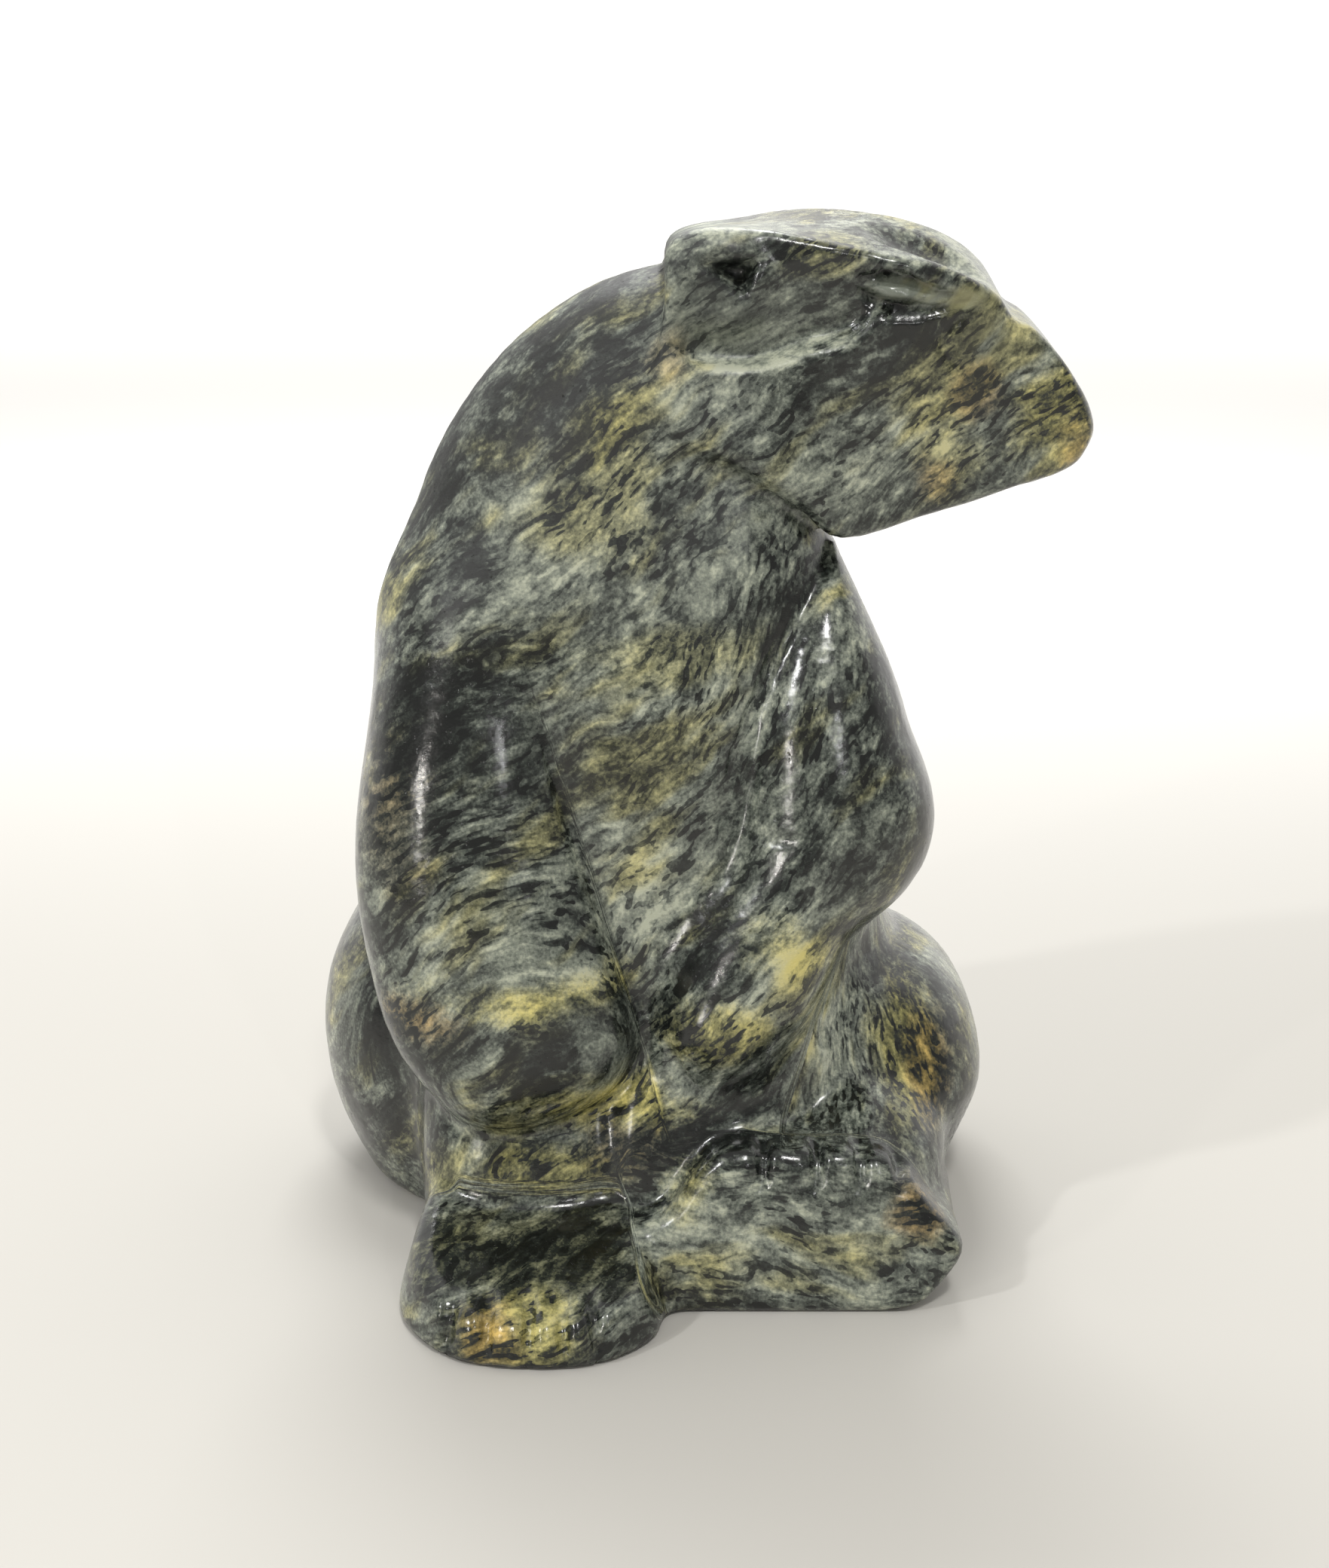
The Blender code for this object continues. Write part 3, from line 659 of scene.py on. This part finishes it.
def put_points(data, p):
    data.vertices.foreach_set("co", (p * MM).astype(np.float32).ravel())
    data.update()


# The lines that the knife follows over the surface
RIGHT_ARM_CUT = (
    (13.8, -6.5, 69.8), (12.8, -9.4, 68.1), (9.6, -11.4, 63.9), (7.5, -11.8, 60.0), (4.7, -13.1, 53.2),
    (3.1, -14.0, 46.1),
)
LEFT_ARM_CUT = (
    (-14.2, -14.3, 57.7), (-12.1, -14.6, 48.1), (-9.3, -15.3, 40.0), (-6.8, -16.2, 31.9), (-6.0, -15.0, 24.0),
)
BELLY_CUT = ((3.1, -14.4, 45.1), (6.0, -15.8, 44.8), (9.6, -17.0, 44.6))
LAP_CUT = (
    (-1.8, -17.9, 24.0), (-0.6, -18.0, 21.4), (1.2, -17.8, 20.2), (4.6, -18.6, 22.0), (6.1, -19.1, 23.1),
)
THIGH_CUT = ((13.0, -13.0, 28.0), (13.2, -11.5, 21.5), (14.0, -11.5, 19.0))
JAW_CUT = (
    (0.2, -11.7, 81.1), (4.3, -10.9, 79.0), (7.7, -11.3, 77.0), (10.0, -10.8, 75.7), (12.2, -9.8, 73.6),
)

# Each cut's line, its half width and its depth, in millimetres as all sizes of the carving are
KNIFE_CUTS = (
    (RIGHT_ARM_CUT, 0.55, 0.45), (LEFT_ARM_CUT, 0.6, 0.5), (BELLY_CUT, 0.5, 0.3), (LAP_CUT, 0.5, 0.45),
    (THIGH_CUT, 0.5, 0.35), (JAW_CUT, 0.5, 0.35),
)


def knife_cuts(p):
    """How deep the fine cuts go at each point."""
    depth = np.zeros(len(p))
    for line, half_width, cut_depth in KNIFE_CUTS:
        line = smooth_path(line, 3)
        room = 3.0 * half_width
        near = ((p > line.min(axis=0) - room) & (p < line.max(axis=0) + room)).all(axis=1)
        q = p[near]
        gap = np.full(len(q), np.inf)
        for start, end in zip(line[:-1], line[1:]):
            run = end - start
            t = np.clip((q - start) @ run / (run @ run), 0.0, 1.0)
            gap = np.minimum(gap, length(q - start - run * t[:, None]))
        depth[near] = np.maximum(depth[near], cut_depth * (1.0 - ramp(gap, 0.0, 2.0 * half_width)))
    return depth


def finished(p):
    """The carving with its finer cuts, which end above the flat underside."""
    return carving(p) + ramp(p[:, 2], 0.3, 2.0) * knife_cuts(p)


# The file leaves the surface slightly uneven: how long its swells are and how high, in millimetres
SWELLS = ((7.0, 0.10), (2.6, 0.035))


def file_marks(p):
    """Slight swells of the surface, which end above the flat underside."""
    height = np.zeros(len(p))
    for wave, swell in SWELLS:
        height += swell * np.array([hill(Vector(q)) for q in p / wave])
    return height * ramp(p[:, 2], 0.5, 3.0)


# The spacing of the finished mesh's points
FINE_GRID = 0.57

bear = bpy.data.objects.new("bear_stone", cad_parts["bear_carving"].data.copy())
bpy.context.scene.collection.objects.link(bear)
bear.data.materials.clear()
mesh = bmesh.new()
mesh.from_mesh(bear.data)
bmesh.ops.remove_doubles(mesh, verts=mesh.verts, dist=0.001 * MM)
mesh.to_mesh(bear.data)
mesh.free()
put_points(bear.data, to_surface(points_of(bear.data) + np.array(BOX_MIDDLE), carving))
applied(bear, "REMESH", mode="VOXEL", voxel_size=FINE_GRID * MM)
points = relieved(to_surface(points_of(bear.data), finished, 3, 0.8))
points[np.abs(points[:, 2]) < FLAT_WITHIN, 2] = 0.0
put_points(bear.data, points - np.array(BOX_MIDDLE))
outward = np.array([vertex.normal for vertex in bear.data.vertices])
points = points + outward * file_marks(points)[:, None]
put_points(bear.data, points - np.array(BOX_MIDDLE))
bear.data.shade_smooth()

# The stone's colours
CHARCOAL = (0.0050, 0.0060, 0.0052, 1.0)
DARK_GREEN = (0.021, 0.0255, 0.0215, 1.0)
MID_GREY = (0.080, 0.091, 0.076, 1.0)
LIGHT_GREY = (0.200, 0.220, 0.178, 1.0)
PALE_GREEN = (0.42, 0.44, 0.34, 1.0)

TONES = ((0.0, CHARCOAL), (0.25, DARK_GREEN), (0.45, MID_GREY), (0.69, LIGHT_GREY), (1.0, PALE_GREEN))

# Stained, pale and dark places, with painted shade among the dark ones and a painted sheen among the pale:
# the middle of each, how far it reaches and how strong it is
GOLD_PLACES = (
    ((-15.0, -18.0, 30.0), (10.0, 9.0, 3.0), 1.0), ((-7.0, -17.0, 18.5), (8.0, 8.0, 3.2), 1.0),
    ((3.0, -17.0, 26.0), (5.0, 8.0, 4.0), 0.9), ((9.5, -18.0, 34.0), (5.0, 7.0, 3.5), 0.8),
    ((-0.5, -25.0, 12.0), (3.4, 6.0, 5.0), 0.8), ((22.5, -9.0, 20.0), (3.5, 9.0, 9.0), 0.9),
    ((35.0, -4.0, 83.0), (5.0, 7.0, 7.0), 0.9), ((12.5, -9.0, 98.5), (4.0, 6.0, 2.2), 0.6),
    ((-6.5, -10.0, 80.0), (3.0, 8.0, 8.0), 0.5), ((-11.0, -13.0, 74.0), (6.0, 8.0, 4.0), 0.5),
    ((24.0, -7.0, 80.0), (4.0, 7.0, 4.0), 0.5), ((-2.0, -13.0, 62.0), (11.0, 8.0, 3.0), 0.45),
    ((-17.0, -35.5, 3.5), (7.0, 5.0, 4.0), 0.9), ((-16.0, -27.0, 7.0), (12.0, 8.0, 4.0), 0.4),
    ((-14.0, -20.0, 12.0), (9.0, 7.0, 2.5), 0.8),
)
RUST_PLACES = (
    ((-24.5, -15.0, 27.5), (5.0, 9.0, 3.0), 1.0), ((-28.0, -12.0, 46.0), (5.0, 9.0, 9.0), 0.55),
    ((22.0, -24.0, 10.0), (4.5, 6.0, 2.6), 0.9), ((25.0, -9.0, 17.0), (2.5, 8.0, 7.0), 0.8),
    ((37.0, -3.0, 80.0), (3.5, 7.0, 4.0), 0.6), ((27.0, -8.0, 86.0), (2.4, 5.0, 3.0), 0.6),
    ((23.0, -8.0, 78.0), (2.4, 5.0, 2.4), 0.6), ((-2.0, -10.5, 89.0), (2.0, 5.0, 3.0), 0.35),
    ((-19.0, -36.0, 3.0), (3.0, 4.0, 3.0), 0.8), ((-6.0, -16.0, 13.5), (5.0, 7.0, 3.0), 0.6),
)
# Pale patches of stone, and a painted sheen on the belly (the first place)
PALE_AND_SHEEN_PLACES = (
    ((-4.5, -15.5, 38.0), (4.5, 8.0, 6.0), 0.9), ((-11.5, -19.0, 31.8), (5.0, 8.0, 2.4), 1.0),
    ((-17.0, -18.0, 28.8), (5.0, 8.0, 2.2), 0.9), ((9.5, -18.0, 34.0), (3.5, 8.0, 4.5), 0.9),
    ((6.5, -18.0, 29.0), (4.0, 8.0, 3.5), 0.8), ((-1.0, -16.0, 21.0), (5.0, 6.0, 4.0), 0.8),
    ((12.0, -13.0, 26.0), (7.0, 8.0, 5.0), 0.6), ((-3.0, -14.0, 58.0), (12.0, 8.0, 4.0), 0.5),
    ((-14.0, -35.0, 4.0), (3.5, 4.0, 2.5), 0.8), ((6.0, -26.0, 13.0), (4.0, 5.0, 2.0), 0.7),
)
LIGHT_PLACES = (
    ((2.0, -11.0, 91.0), (10.0, 9.0, 9.0), 1.0), ((18.0, -9.0, 82.0), (16.0, 9.0, 9.0), 0.9),
    ((2.0, -13.0, 64.0), (17.0, 12.0, 15.0), 0.85), ((-2.0, -15.0, 40.0), (11.0, 10.0, 14.0), 1.0),
    ((7.0, -16.0, 33.0), (8.0, 10.0, 10.0), 1.0), ((14.0, -10.0, 22.0), (9.0, 9.0, 10.0), 1.0),
    ((-14.0, -18.0, 36.0), (12.0, 9.0, 9.0), 0.8), ((8.0, -23.0, 7.0), (19.0, 8.0, 8.0), 0.8),
    ((-8.0, -17.0, 18.0), (12.0, 9.0, 5.0), 0.9), ((21.0, -10.0, 18.0), (7.0, 9.0, 8.0), 0.9),
    ((19.0, -9.5, 87.0), (6.5, 7.0, 3.6), 1.0), ((-21.5, -16.0, 35.0), (7.0, 9.0, 8.0), 0.9),
)
# Dark patches of stone, and painted shade: in the furrow between the brows, in the ear's hollow and on the
# neck behind the head, and a painted dark reflection of the body on the top of the flat foot and under the
# right paw
DARK_AND_SHADED_PLACES = (
    ((20.3, -2.5, 99.8), (5.0, 4.0, 3.0), 1.0), ((-19.0, -6.0, 82.0), (10.0, 12.0, 19.0), 0.65),
    ((19.0, -8.0, 54.0), (9.0, 12.0, 14.0), 0.7), ((-8.0, -8.0, 90.0), (8.0, 12.0, 8.0), 0.35),
    ((3.4, -9.5, 97.2), (3.8, 5.0, 2.0), 1.0), ((20.8, -9.5, 90.6), (1.5, 3.0, 1.9), 1.0),
    ((-14.3, -19.0, 24.0), (5.5, 8.0, 4.0), 1.0), ((13.0, -12.0, 58.0), (5.0, 9.0, 9.0), 0.6),
    ((-27.0, -8.0, 56.0), (8.0, 12.0, 5.0), 0.6), ((0.8, -17.0, 34.5), (5.5, 8.0, 5.0), 1.0),
    ((-16.0, -26.0, 8.0), (11.0, 6.0, 4.0), 0.9), ((4.0, -19.0, 17.0), (7.0, 9.0, 3.5), 0.6),
    ((-30.0, 5.0, 20.0), (8.0, 14.0, 18.0), 0.4), ((5.0, -9.0, 93.0), (7.0, 6.0, 4.0), 0.4),
)

# The facets of the eye, painted pale as a highlight where they catch the light, and the bridge of the nose
# and the temple, polished to an even tone
EYE_HIGHLIGHT_AND_SMOOTH_TONE = 0.68
EYE_HIGHLIGHT_AND_SMOOTH_PLACES = (
    ((19.5, -9.0, 95.4), (4.6, 6.0, 1.5), 0.9), ((24.3, -9.0, 94.6), (4.6, 6.0, 1.3), 0.9),
    ((27.6, -8.5, 90.3), (2.8, 4.0, 2.6), 0.5), ((3.0, -11.0, 92.5), (9.0, 6.0, 4.5), 0.4),
)

# A painted highlight along the lip below the temple, where its rounded edge catches the light
LIP_HIGHLIGHT_PLACES = (
    ((1.6, -11.0, 88.2), (3.0, 5.0, 0.5), 0.8), ((5.4, -11.0, 88.3), (2.8, 5.0, 0.5), 0.9),
    ((8.6, -11.0, 88.9), (2.2, 5.0, 0.55), 1.0), ((11.2, -11.0, 89.6), (2.0, 5.0, 0.55), 1.0),
    ((13.6, -11.0, 90.3), (1.8, 5.0, 0.55), 0.9),
)

# How much darker or lighter each kind of place is than the stone round it
DARKER_AND_SHADED = 0.23
LIGHTER = 0.14
PALER_AND_SHEEN = 0.38
GOLD_LIGHTER = 0.17
LIP_HIGHLIGHT_LIGHTER = 0.28
# How much lighter the painted highlight on the head's upward faces is
UPWARD_HEAD_HIGHLIGHT = 0.24

# A stained place begins at this many times its reach, and is full from there in
STAIN_STARTS, STAIN_FULL = 1.25, 0.35


def stained(place, blots, rough_edge):
    """One mask for all the stained places of a kind, each a soft oval with a broken edge."""
    share = None
    for middle, reach, strength in blots:
        middle = tuple(np.array(middle) - np.array(BOX_MIDDLE))
        offset = vectors("DIVIDE", vectors("SUBTRACT", place, middle), reach)
        far = add_node("ShaderNodeVectorMath", {"operation": "LENGTH"}, {0: offset}, "Value")
        one = between(far + rough_edge, STAIN_STARTS, STAIN_FULL, 0.0, strength)
        share = one if share is None else share.math("MAXIMUM", one)
    return share


def layered(along, across, through):
    """A place in the layers of the stone."""
    return add_node("ShaderNodeCombineXYZ", {}, {0: along, 1: across, 2: through})


def tilted(x, z, degrees, y):
    """Layers that rise to the right at an angle."""
    c, s = float(np.cos(np.radians(degrees))), float(np.sin(np.radians(degrees)))
    return layered(x * c + z * s, z * c - x * s, y)


def fanned(x, z, middle, spread, y):
    """Layers that fan out from a point."""
    dx, dz = x - middle[0], z - middle[1]
    reach = (dx * dx + dz * dz).math("SQRT")
    return layered(reach, dz.math("ARCTAN2", dx) * spread, y)


def ringed(x, z, middle, degrees, stretch, y):
    """Layers folded into rings about a point, longer one way."""
    c, s = float(np.cos(np.radians(degrees))), float(np.sin(np.radians(degrees)))
    dx, dz = x - middle[0], z - middle[1]
    along, across = (dx * c + dz * s) / stretch, dz * c - dx * s
    return layered(along, (along * along + across * across).math("SQRT"), y)


def mixed_place(a, b, share):
    return add_node("ShaderNodeMix", {"data_type": "VECTOR"}, {0: share, 4: a, 5: b}, 1)


# The folds that bend the layers: how many to a millimetre, and how far they shift a place
SWAY_SCALE, SWAY = 0.045, (9.0, 7.0, 9.0)
SHIVER_SCALE, SHIVER = 0.22, (0.8, 0.8, 0.8)
HALF_GREY = (0.5, 0.5, 0.5)

stone, shader = new_material("soapstone")
place = object_place()
sway = vectors("SUBTRACT", noise(place, SWAY_SCALE, 2.0, 0.5, "Color"), HALF_GREY)
shiver = vectors("SUBTRACT", noise(place, SHIVER_SCALE, 2.0, 0.5, "Color"), HALF_GREY)
folded = vectors("ADD", place, vectors("MULTIPLY", sway, SWAY))
folded = vectors("ADD", folded, vectors("MULTIPLY", shiver, SHIVER))
x, y, z = (add_node("ShaderNodeSeparateXYZ", {}, {0: place}, axis) for axis in range(3))
fx, fy, fz = (add_node("ShaderNodeSeparateXYZ", {}, {0: folded}, axis) for axis in range(3))

# The stone's pattern, from broad bands to grains: how many to a millimetre along, across and through its
# layers, and how strong each is
BROAD_BANDS, BROAD_STRENGTH = (0.025, 0.085, 0.04), 0.7
CLOUDS, CLOUD_STRENGTH = (0.075, 0.165, 0.11), 0.95
MOTTLE, MOTTLE_STRENGTH = (0.27, 0.54, 0.38), 1.25
GRAINS, GRAIN_STRENGTH = (0.8, 1.7, 1.2), 0.34
DASHES, BLACK_STRENGTH, WHITE_STRENGTH = (0.56, 1.60, 1.05), 0.42, 0.16
FINE_STRENGTH = 0.70
MIDDLE_TONE = 0.425


def stone_tone(layers):
    """How light the stone is, from its clouds down to its black flecks, and its clouds alone."""
    clouds = noise(vectors("MULTIPLY", layers, CLOUDS), 1.0, 2.0, 0.5)
    mottle = noise(vectors("MULTIPLY", layers, MOTTLE), 1.0, 3.0, 0.6)
    dashes = noise(vectors("MULTIPLY", layers, DASHES), 1.0, 1.0, 0.5)
    grain_place = vectors("MULTIPLY", layers, GRAINS)
    grains = add_node("ShaderNodeTexVoronoi", {}, {"Vector": grain_place, "Scale": 1.0}, "Distance")
    black = between(dashes, 0.54, 0.57) * between(mottle, 0.64, 0.46) * between(clouds, 0.62, 0.46, 0.3, 1.0)
    white = between(dashes, 0.43, 0.37) * between(mottle, 0.42, 0.60)
    tone = (clouds - 0.5) * CLOUD_STRENGTH + (mottle - 0.5) * MOTTLE_STRENGTH
    tone = tone - (grains - 0.45) * GRAIN_STRENGTH
    return tone - black * BLACK_STRENGTH + white * WHITE_STRENGTH, clouds


# Which way the layers run: how steeply they rise to the right, in degrees, where they fan out or ring
# round, and the line in the arm's crease that parts two runs
BODY_RISE = 40.0
BENT_RISE = 64.0
SOLE_RISE = -4.0
FLAT_FOOT_RISE = 27.0
FAN_MIDDLE, FAN_SPREAD = (17.0, 44.0), 30.0
RING_MIDDLE, RING_RISE, RING_STRETCH = (-15.0, 23.0), 30.0, 1.6
CREASE_FOOT, CREASE_LEAN, CREASE_BEND = 46.0, 0.28, 0.0073
GROOVE_LEAN = -0.29

on_arm = z - CREASE_FOOT
beside_crease = x - (on_arm * CREASE_LEAN + on_arm * on_arm * CREASE_BEND)
beside_groove = between(x - z * GROOVE_LEAN, 3.4, 2.4)
ring_x, ring_z = x - RING_MIDDLE[0], z - RING_MIDDLE[1]
from_ring = (ring_x * ring_x + ring_z * ring_z).math("SQRT")
left_arm = beside_groove * between(z, 66.0, 46.0) * between(z, 13.0, 16.0) * between(y, 6.0, 0.0)
left_arm = left_arm * between(from_ring, 3.5, 9.0)
upper_arm = between(beside_crease, 2.7, 3.5) * between(z, 38.0, 56.0) * between(z, 73.0, 70.0)
throat = between(x * 0.62 + z, 81.0, 79.5) * between(z, 44.0, 58.0) * between(beside_crease, -13.0, -2.0)
haunch = between(x - z * 0.35, 3.6, 4.4) * between(z, 36.5, 35.0)
between_feet = x + z * 0.45 + 1.6
sole = between(y, -17.9, -18.5) * between(between_feet, 0.0, 0.4) * between(z, 17.0, 15.4)
flat_foot = between(y, -17.2, -17.8) * between(between_feet, 0.0, -0.4) * between(z, 11.2, 9.4)

straight = tilted(fx, fz, BODY_RISE, fy)
straight = mixed_place(straight, fanned(fx, fz, FAN_MIDDLE, FAN_SPREAD, fy), haunch)
straight = mixed_place(straight, tilted(fx, fz, SOLE_RISE, fy), sole)
straight = mixed_place(straight, tilted(fx, fz + fy * 0.4, FLAT_FOOT_RISE, fz), flat_foot)
curved = tilted(fx, fz, BENT_RISE, fy)
curved = mixed_place(curved, ringed(fx, fz, RING_MIDDLE, RING_RISE, RING_STRETCH, fy), beside_groove)

broad = noise(vectors("MULTIPLY", straight, BROAD_BANDS), 1.0, 2.0, 0.5)
straight_tone, straight_bands = stone_tone(straight)
curved_tone, curved_bands = stone_tone(curved)
bent = left_arm.math("MAXIMUM", upper_arm).math("MAXIMUM", throat)
bands = straight_bands + (curved_bands - straight_bands) * bent
speckle = noise(place, 1.6, 3.0, 0.7)
grain = noise(place, 3.0, 2.0, 0.6)

tone = MIDDLE_TONE + (broad - 0.5) * BROAD_STRENGTH + (grain - 0.5) * FINE_STRENGTH
tone = tone + straight_tone + (curved_tone - straight_tone) * bent
edge = (bands - 0.5) * 2.4 + (speckle - 0.5) * 0.5
# Darker stone, and painted shade and reflection in hollows and under the body
dark_and_shade = stained(place, DARK_AND_SHADED_PLACES, edge) * DARKER_AND_SHADED
light = stained(place, LIGHT_PLACES, edge * 0.5) * LIGHTER
# Pale stone, and a painted sheen on the belly
pale_and_sheen = stained(place, PALE_AND_SHEEN_PLACES, edge) * PALER_AND_SHEEN
gold = stained(place, GOLD_PLACES, edge)
# A painted highlight along the temple's lip
lip = stained(place, LIP_HIGHLIGHT_PLACES, edge * 0.3) * LIP_HIGHLIGHT_LIGHTER
facing = add_node("ShaderNodeNewGeometry", {}, {}, "Normal")
upward = add_node("ShaderNodeSeparateXYZ", {}, {0: facing}, 2)
# Painted highlight: faces of the head that turn upwards, such as the wall of the temple's lip, are painted
# lighter
upward_head_highlight = between(upward, 0.30, 0.75) * between(z, 84.0, 87.0) * between(x, -3.0, 0.0) * UPWARD_HEAD_HIGHLIGHT
tone = tone - dark_and_shade + light + pale_and_sheen + gold * GOLD_LIGHTER + upward_head_highlight
# A painted highlight on the eye's facets, and an even tone on the bridge of the nose and the temple
tone = tone + stained(place, EYE_HIGHLIGHT_AND_SMOOTH_PLACES, 0.0) * (EYE_HIGHLIGHT_AND_SMOOTH_TONE - tone) + lip

bare_stone = add_node("ShaderNodeValToRGB", {"stops": TONES}, {0: tone})

# A stain soaks into the stone and tints what is under it
GOLD_TINT = (1.58, 1.30, 0.48)
RUST_TINT = (1.65, 0.92, 0.28)
OLIVE_TINT = (1.20, 1.06, 0.66)
GOLD_STRENGTH = 0.85
RUST_STRENGTH = 0.7
WARM_VEINS = (0.05, 0.15, 0.07)

gold = gold * between(tone, 0.10, 0.40)
rust = stained(place, RUST_PLACES, edge) * between(tone, 0.10, 0.45)
warm_veins = between(noise(vectors("MULTIPLY", straight, WARM_VEINS), 1.0, 3.0, 0.6), 0.50, 0.64)
colour = mixed(bare_stone, vectors("MULTIPLY", bare_stone, OLIVE_TINT), warm_veins)
colour = mixed(colour, vectors("MULTIPLY", bare_stone, GOLD_TINT), gold * GOLD_STRENGTH)
colour = mixed(colour, vectors("MULTIPLY", bare_stone, RUST_TINT), rust * RUST_STRENGTH)

# The polish: scratches, pits and dimples in the wax, how rough each leaves it, and a duller neck
SCRATCHES = (3.0, 3.0, 9.0)
POLISH = 0.15
DULL_NECK, DULL_SCRATCHES, DULL_PITS, DULL_LIGHT_STONE = 0.42, 0.10, 0.25, 0.06
HIGH_SCRATCHES, HIGH_SPECKLE, DEEP_PITS, HIGH_DIMPLES = 0.14, 0.16, 0.4, 2.2
BUMP_STRENGTH = 0.35
BUMP_DEPTH = 0.00015
STONE_IOR = 1.56

scratches = noise(vectors("MULTIPLY", place, SCRATCHES), 1.0, 3.0, 0.7)
pits = between(noise(place, 2.2, 2.0, 0.6), 0.66, 0.74)
dimples = noise(place, 0.42, 2.0, 0.5)
height = scratches * HIGH_SCRATCHES + speckle * HIGH_SPECKLE - pits * DEEP_PITS + dimples * HIGH_DIMPLES
neck = between(z, 60.0, 70.0) * between(x, 10.0, -2.0)
roughness = POLISH + neck * DULL_NECK + between(scratches, 0.35, 0.75) * DULL_SCRATCHES + pits * DULL_PITS
roughness = roughness + between(tone, 0.35, 0.80) * DULL_LIGHT_STONE
bump = {"Strength": BUMP_STRENGTH, "Distance": BUMP_DEPTH, "Height": height}
feed(shader.inputs["Base Color"], colour)
feed(shader.inputs["Roughness"], roughness)
feed(shader.inputs["Metallic"], 0.0)
feed(shader.inputs["IOR"], STONE_IOR)
feed(shader.inputs["Normal"], add_node("ShaderNodeBump", {}, bump))
bear.data.materials.append(stone)

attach(bear, "root")
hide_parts("bear_carving")
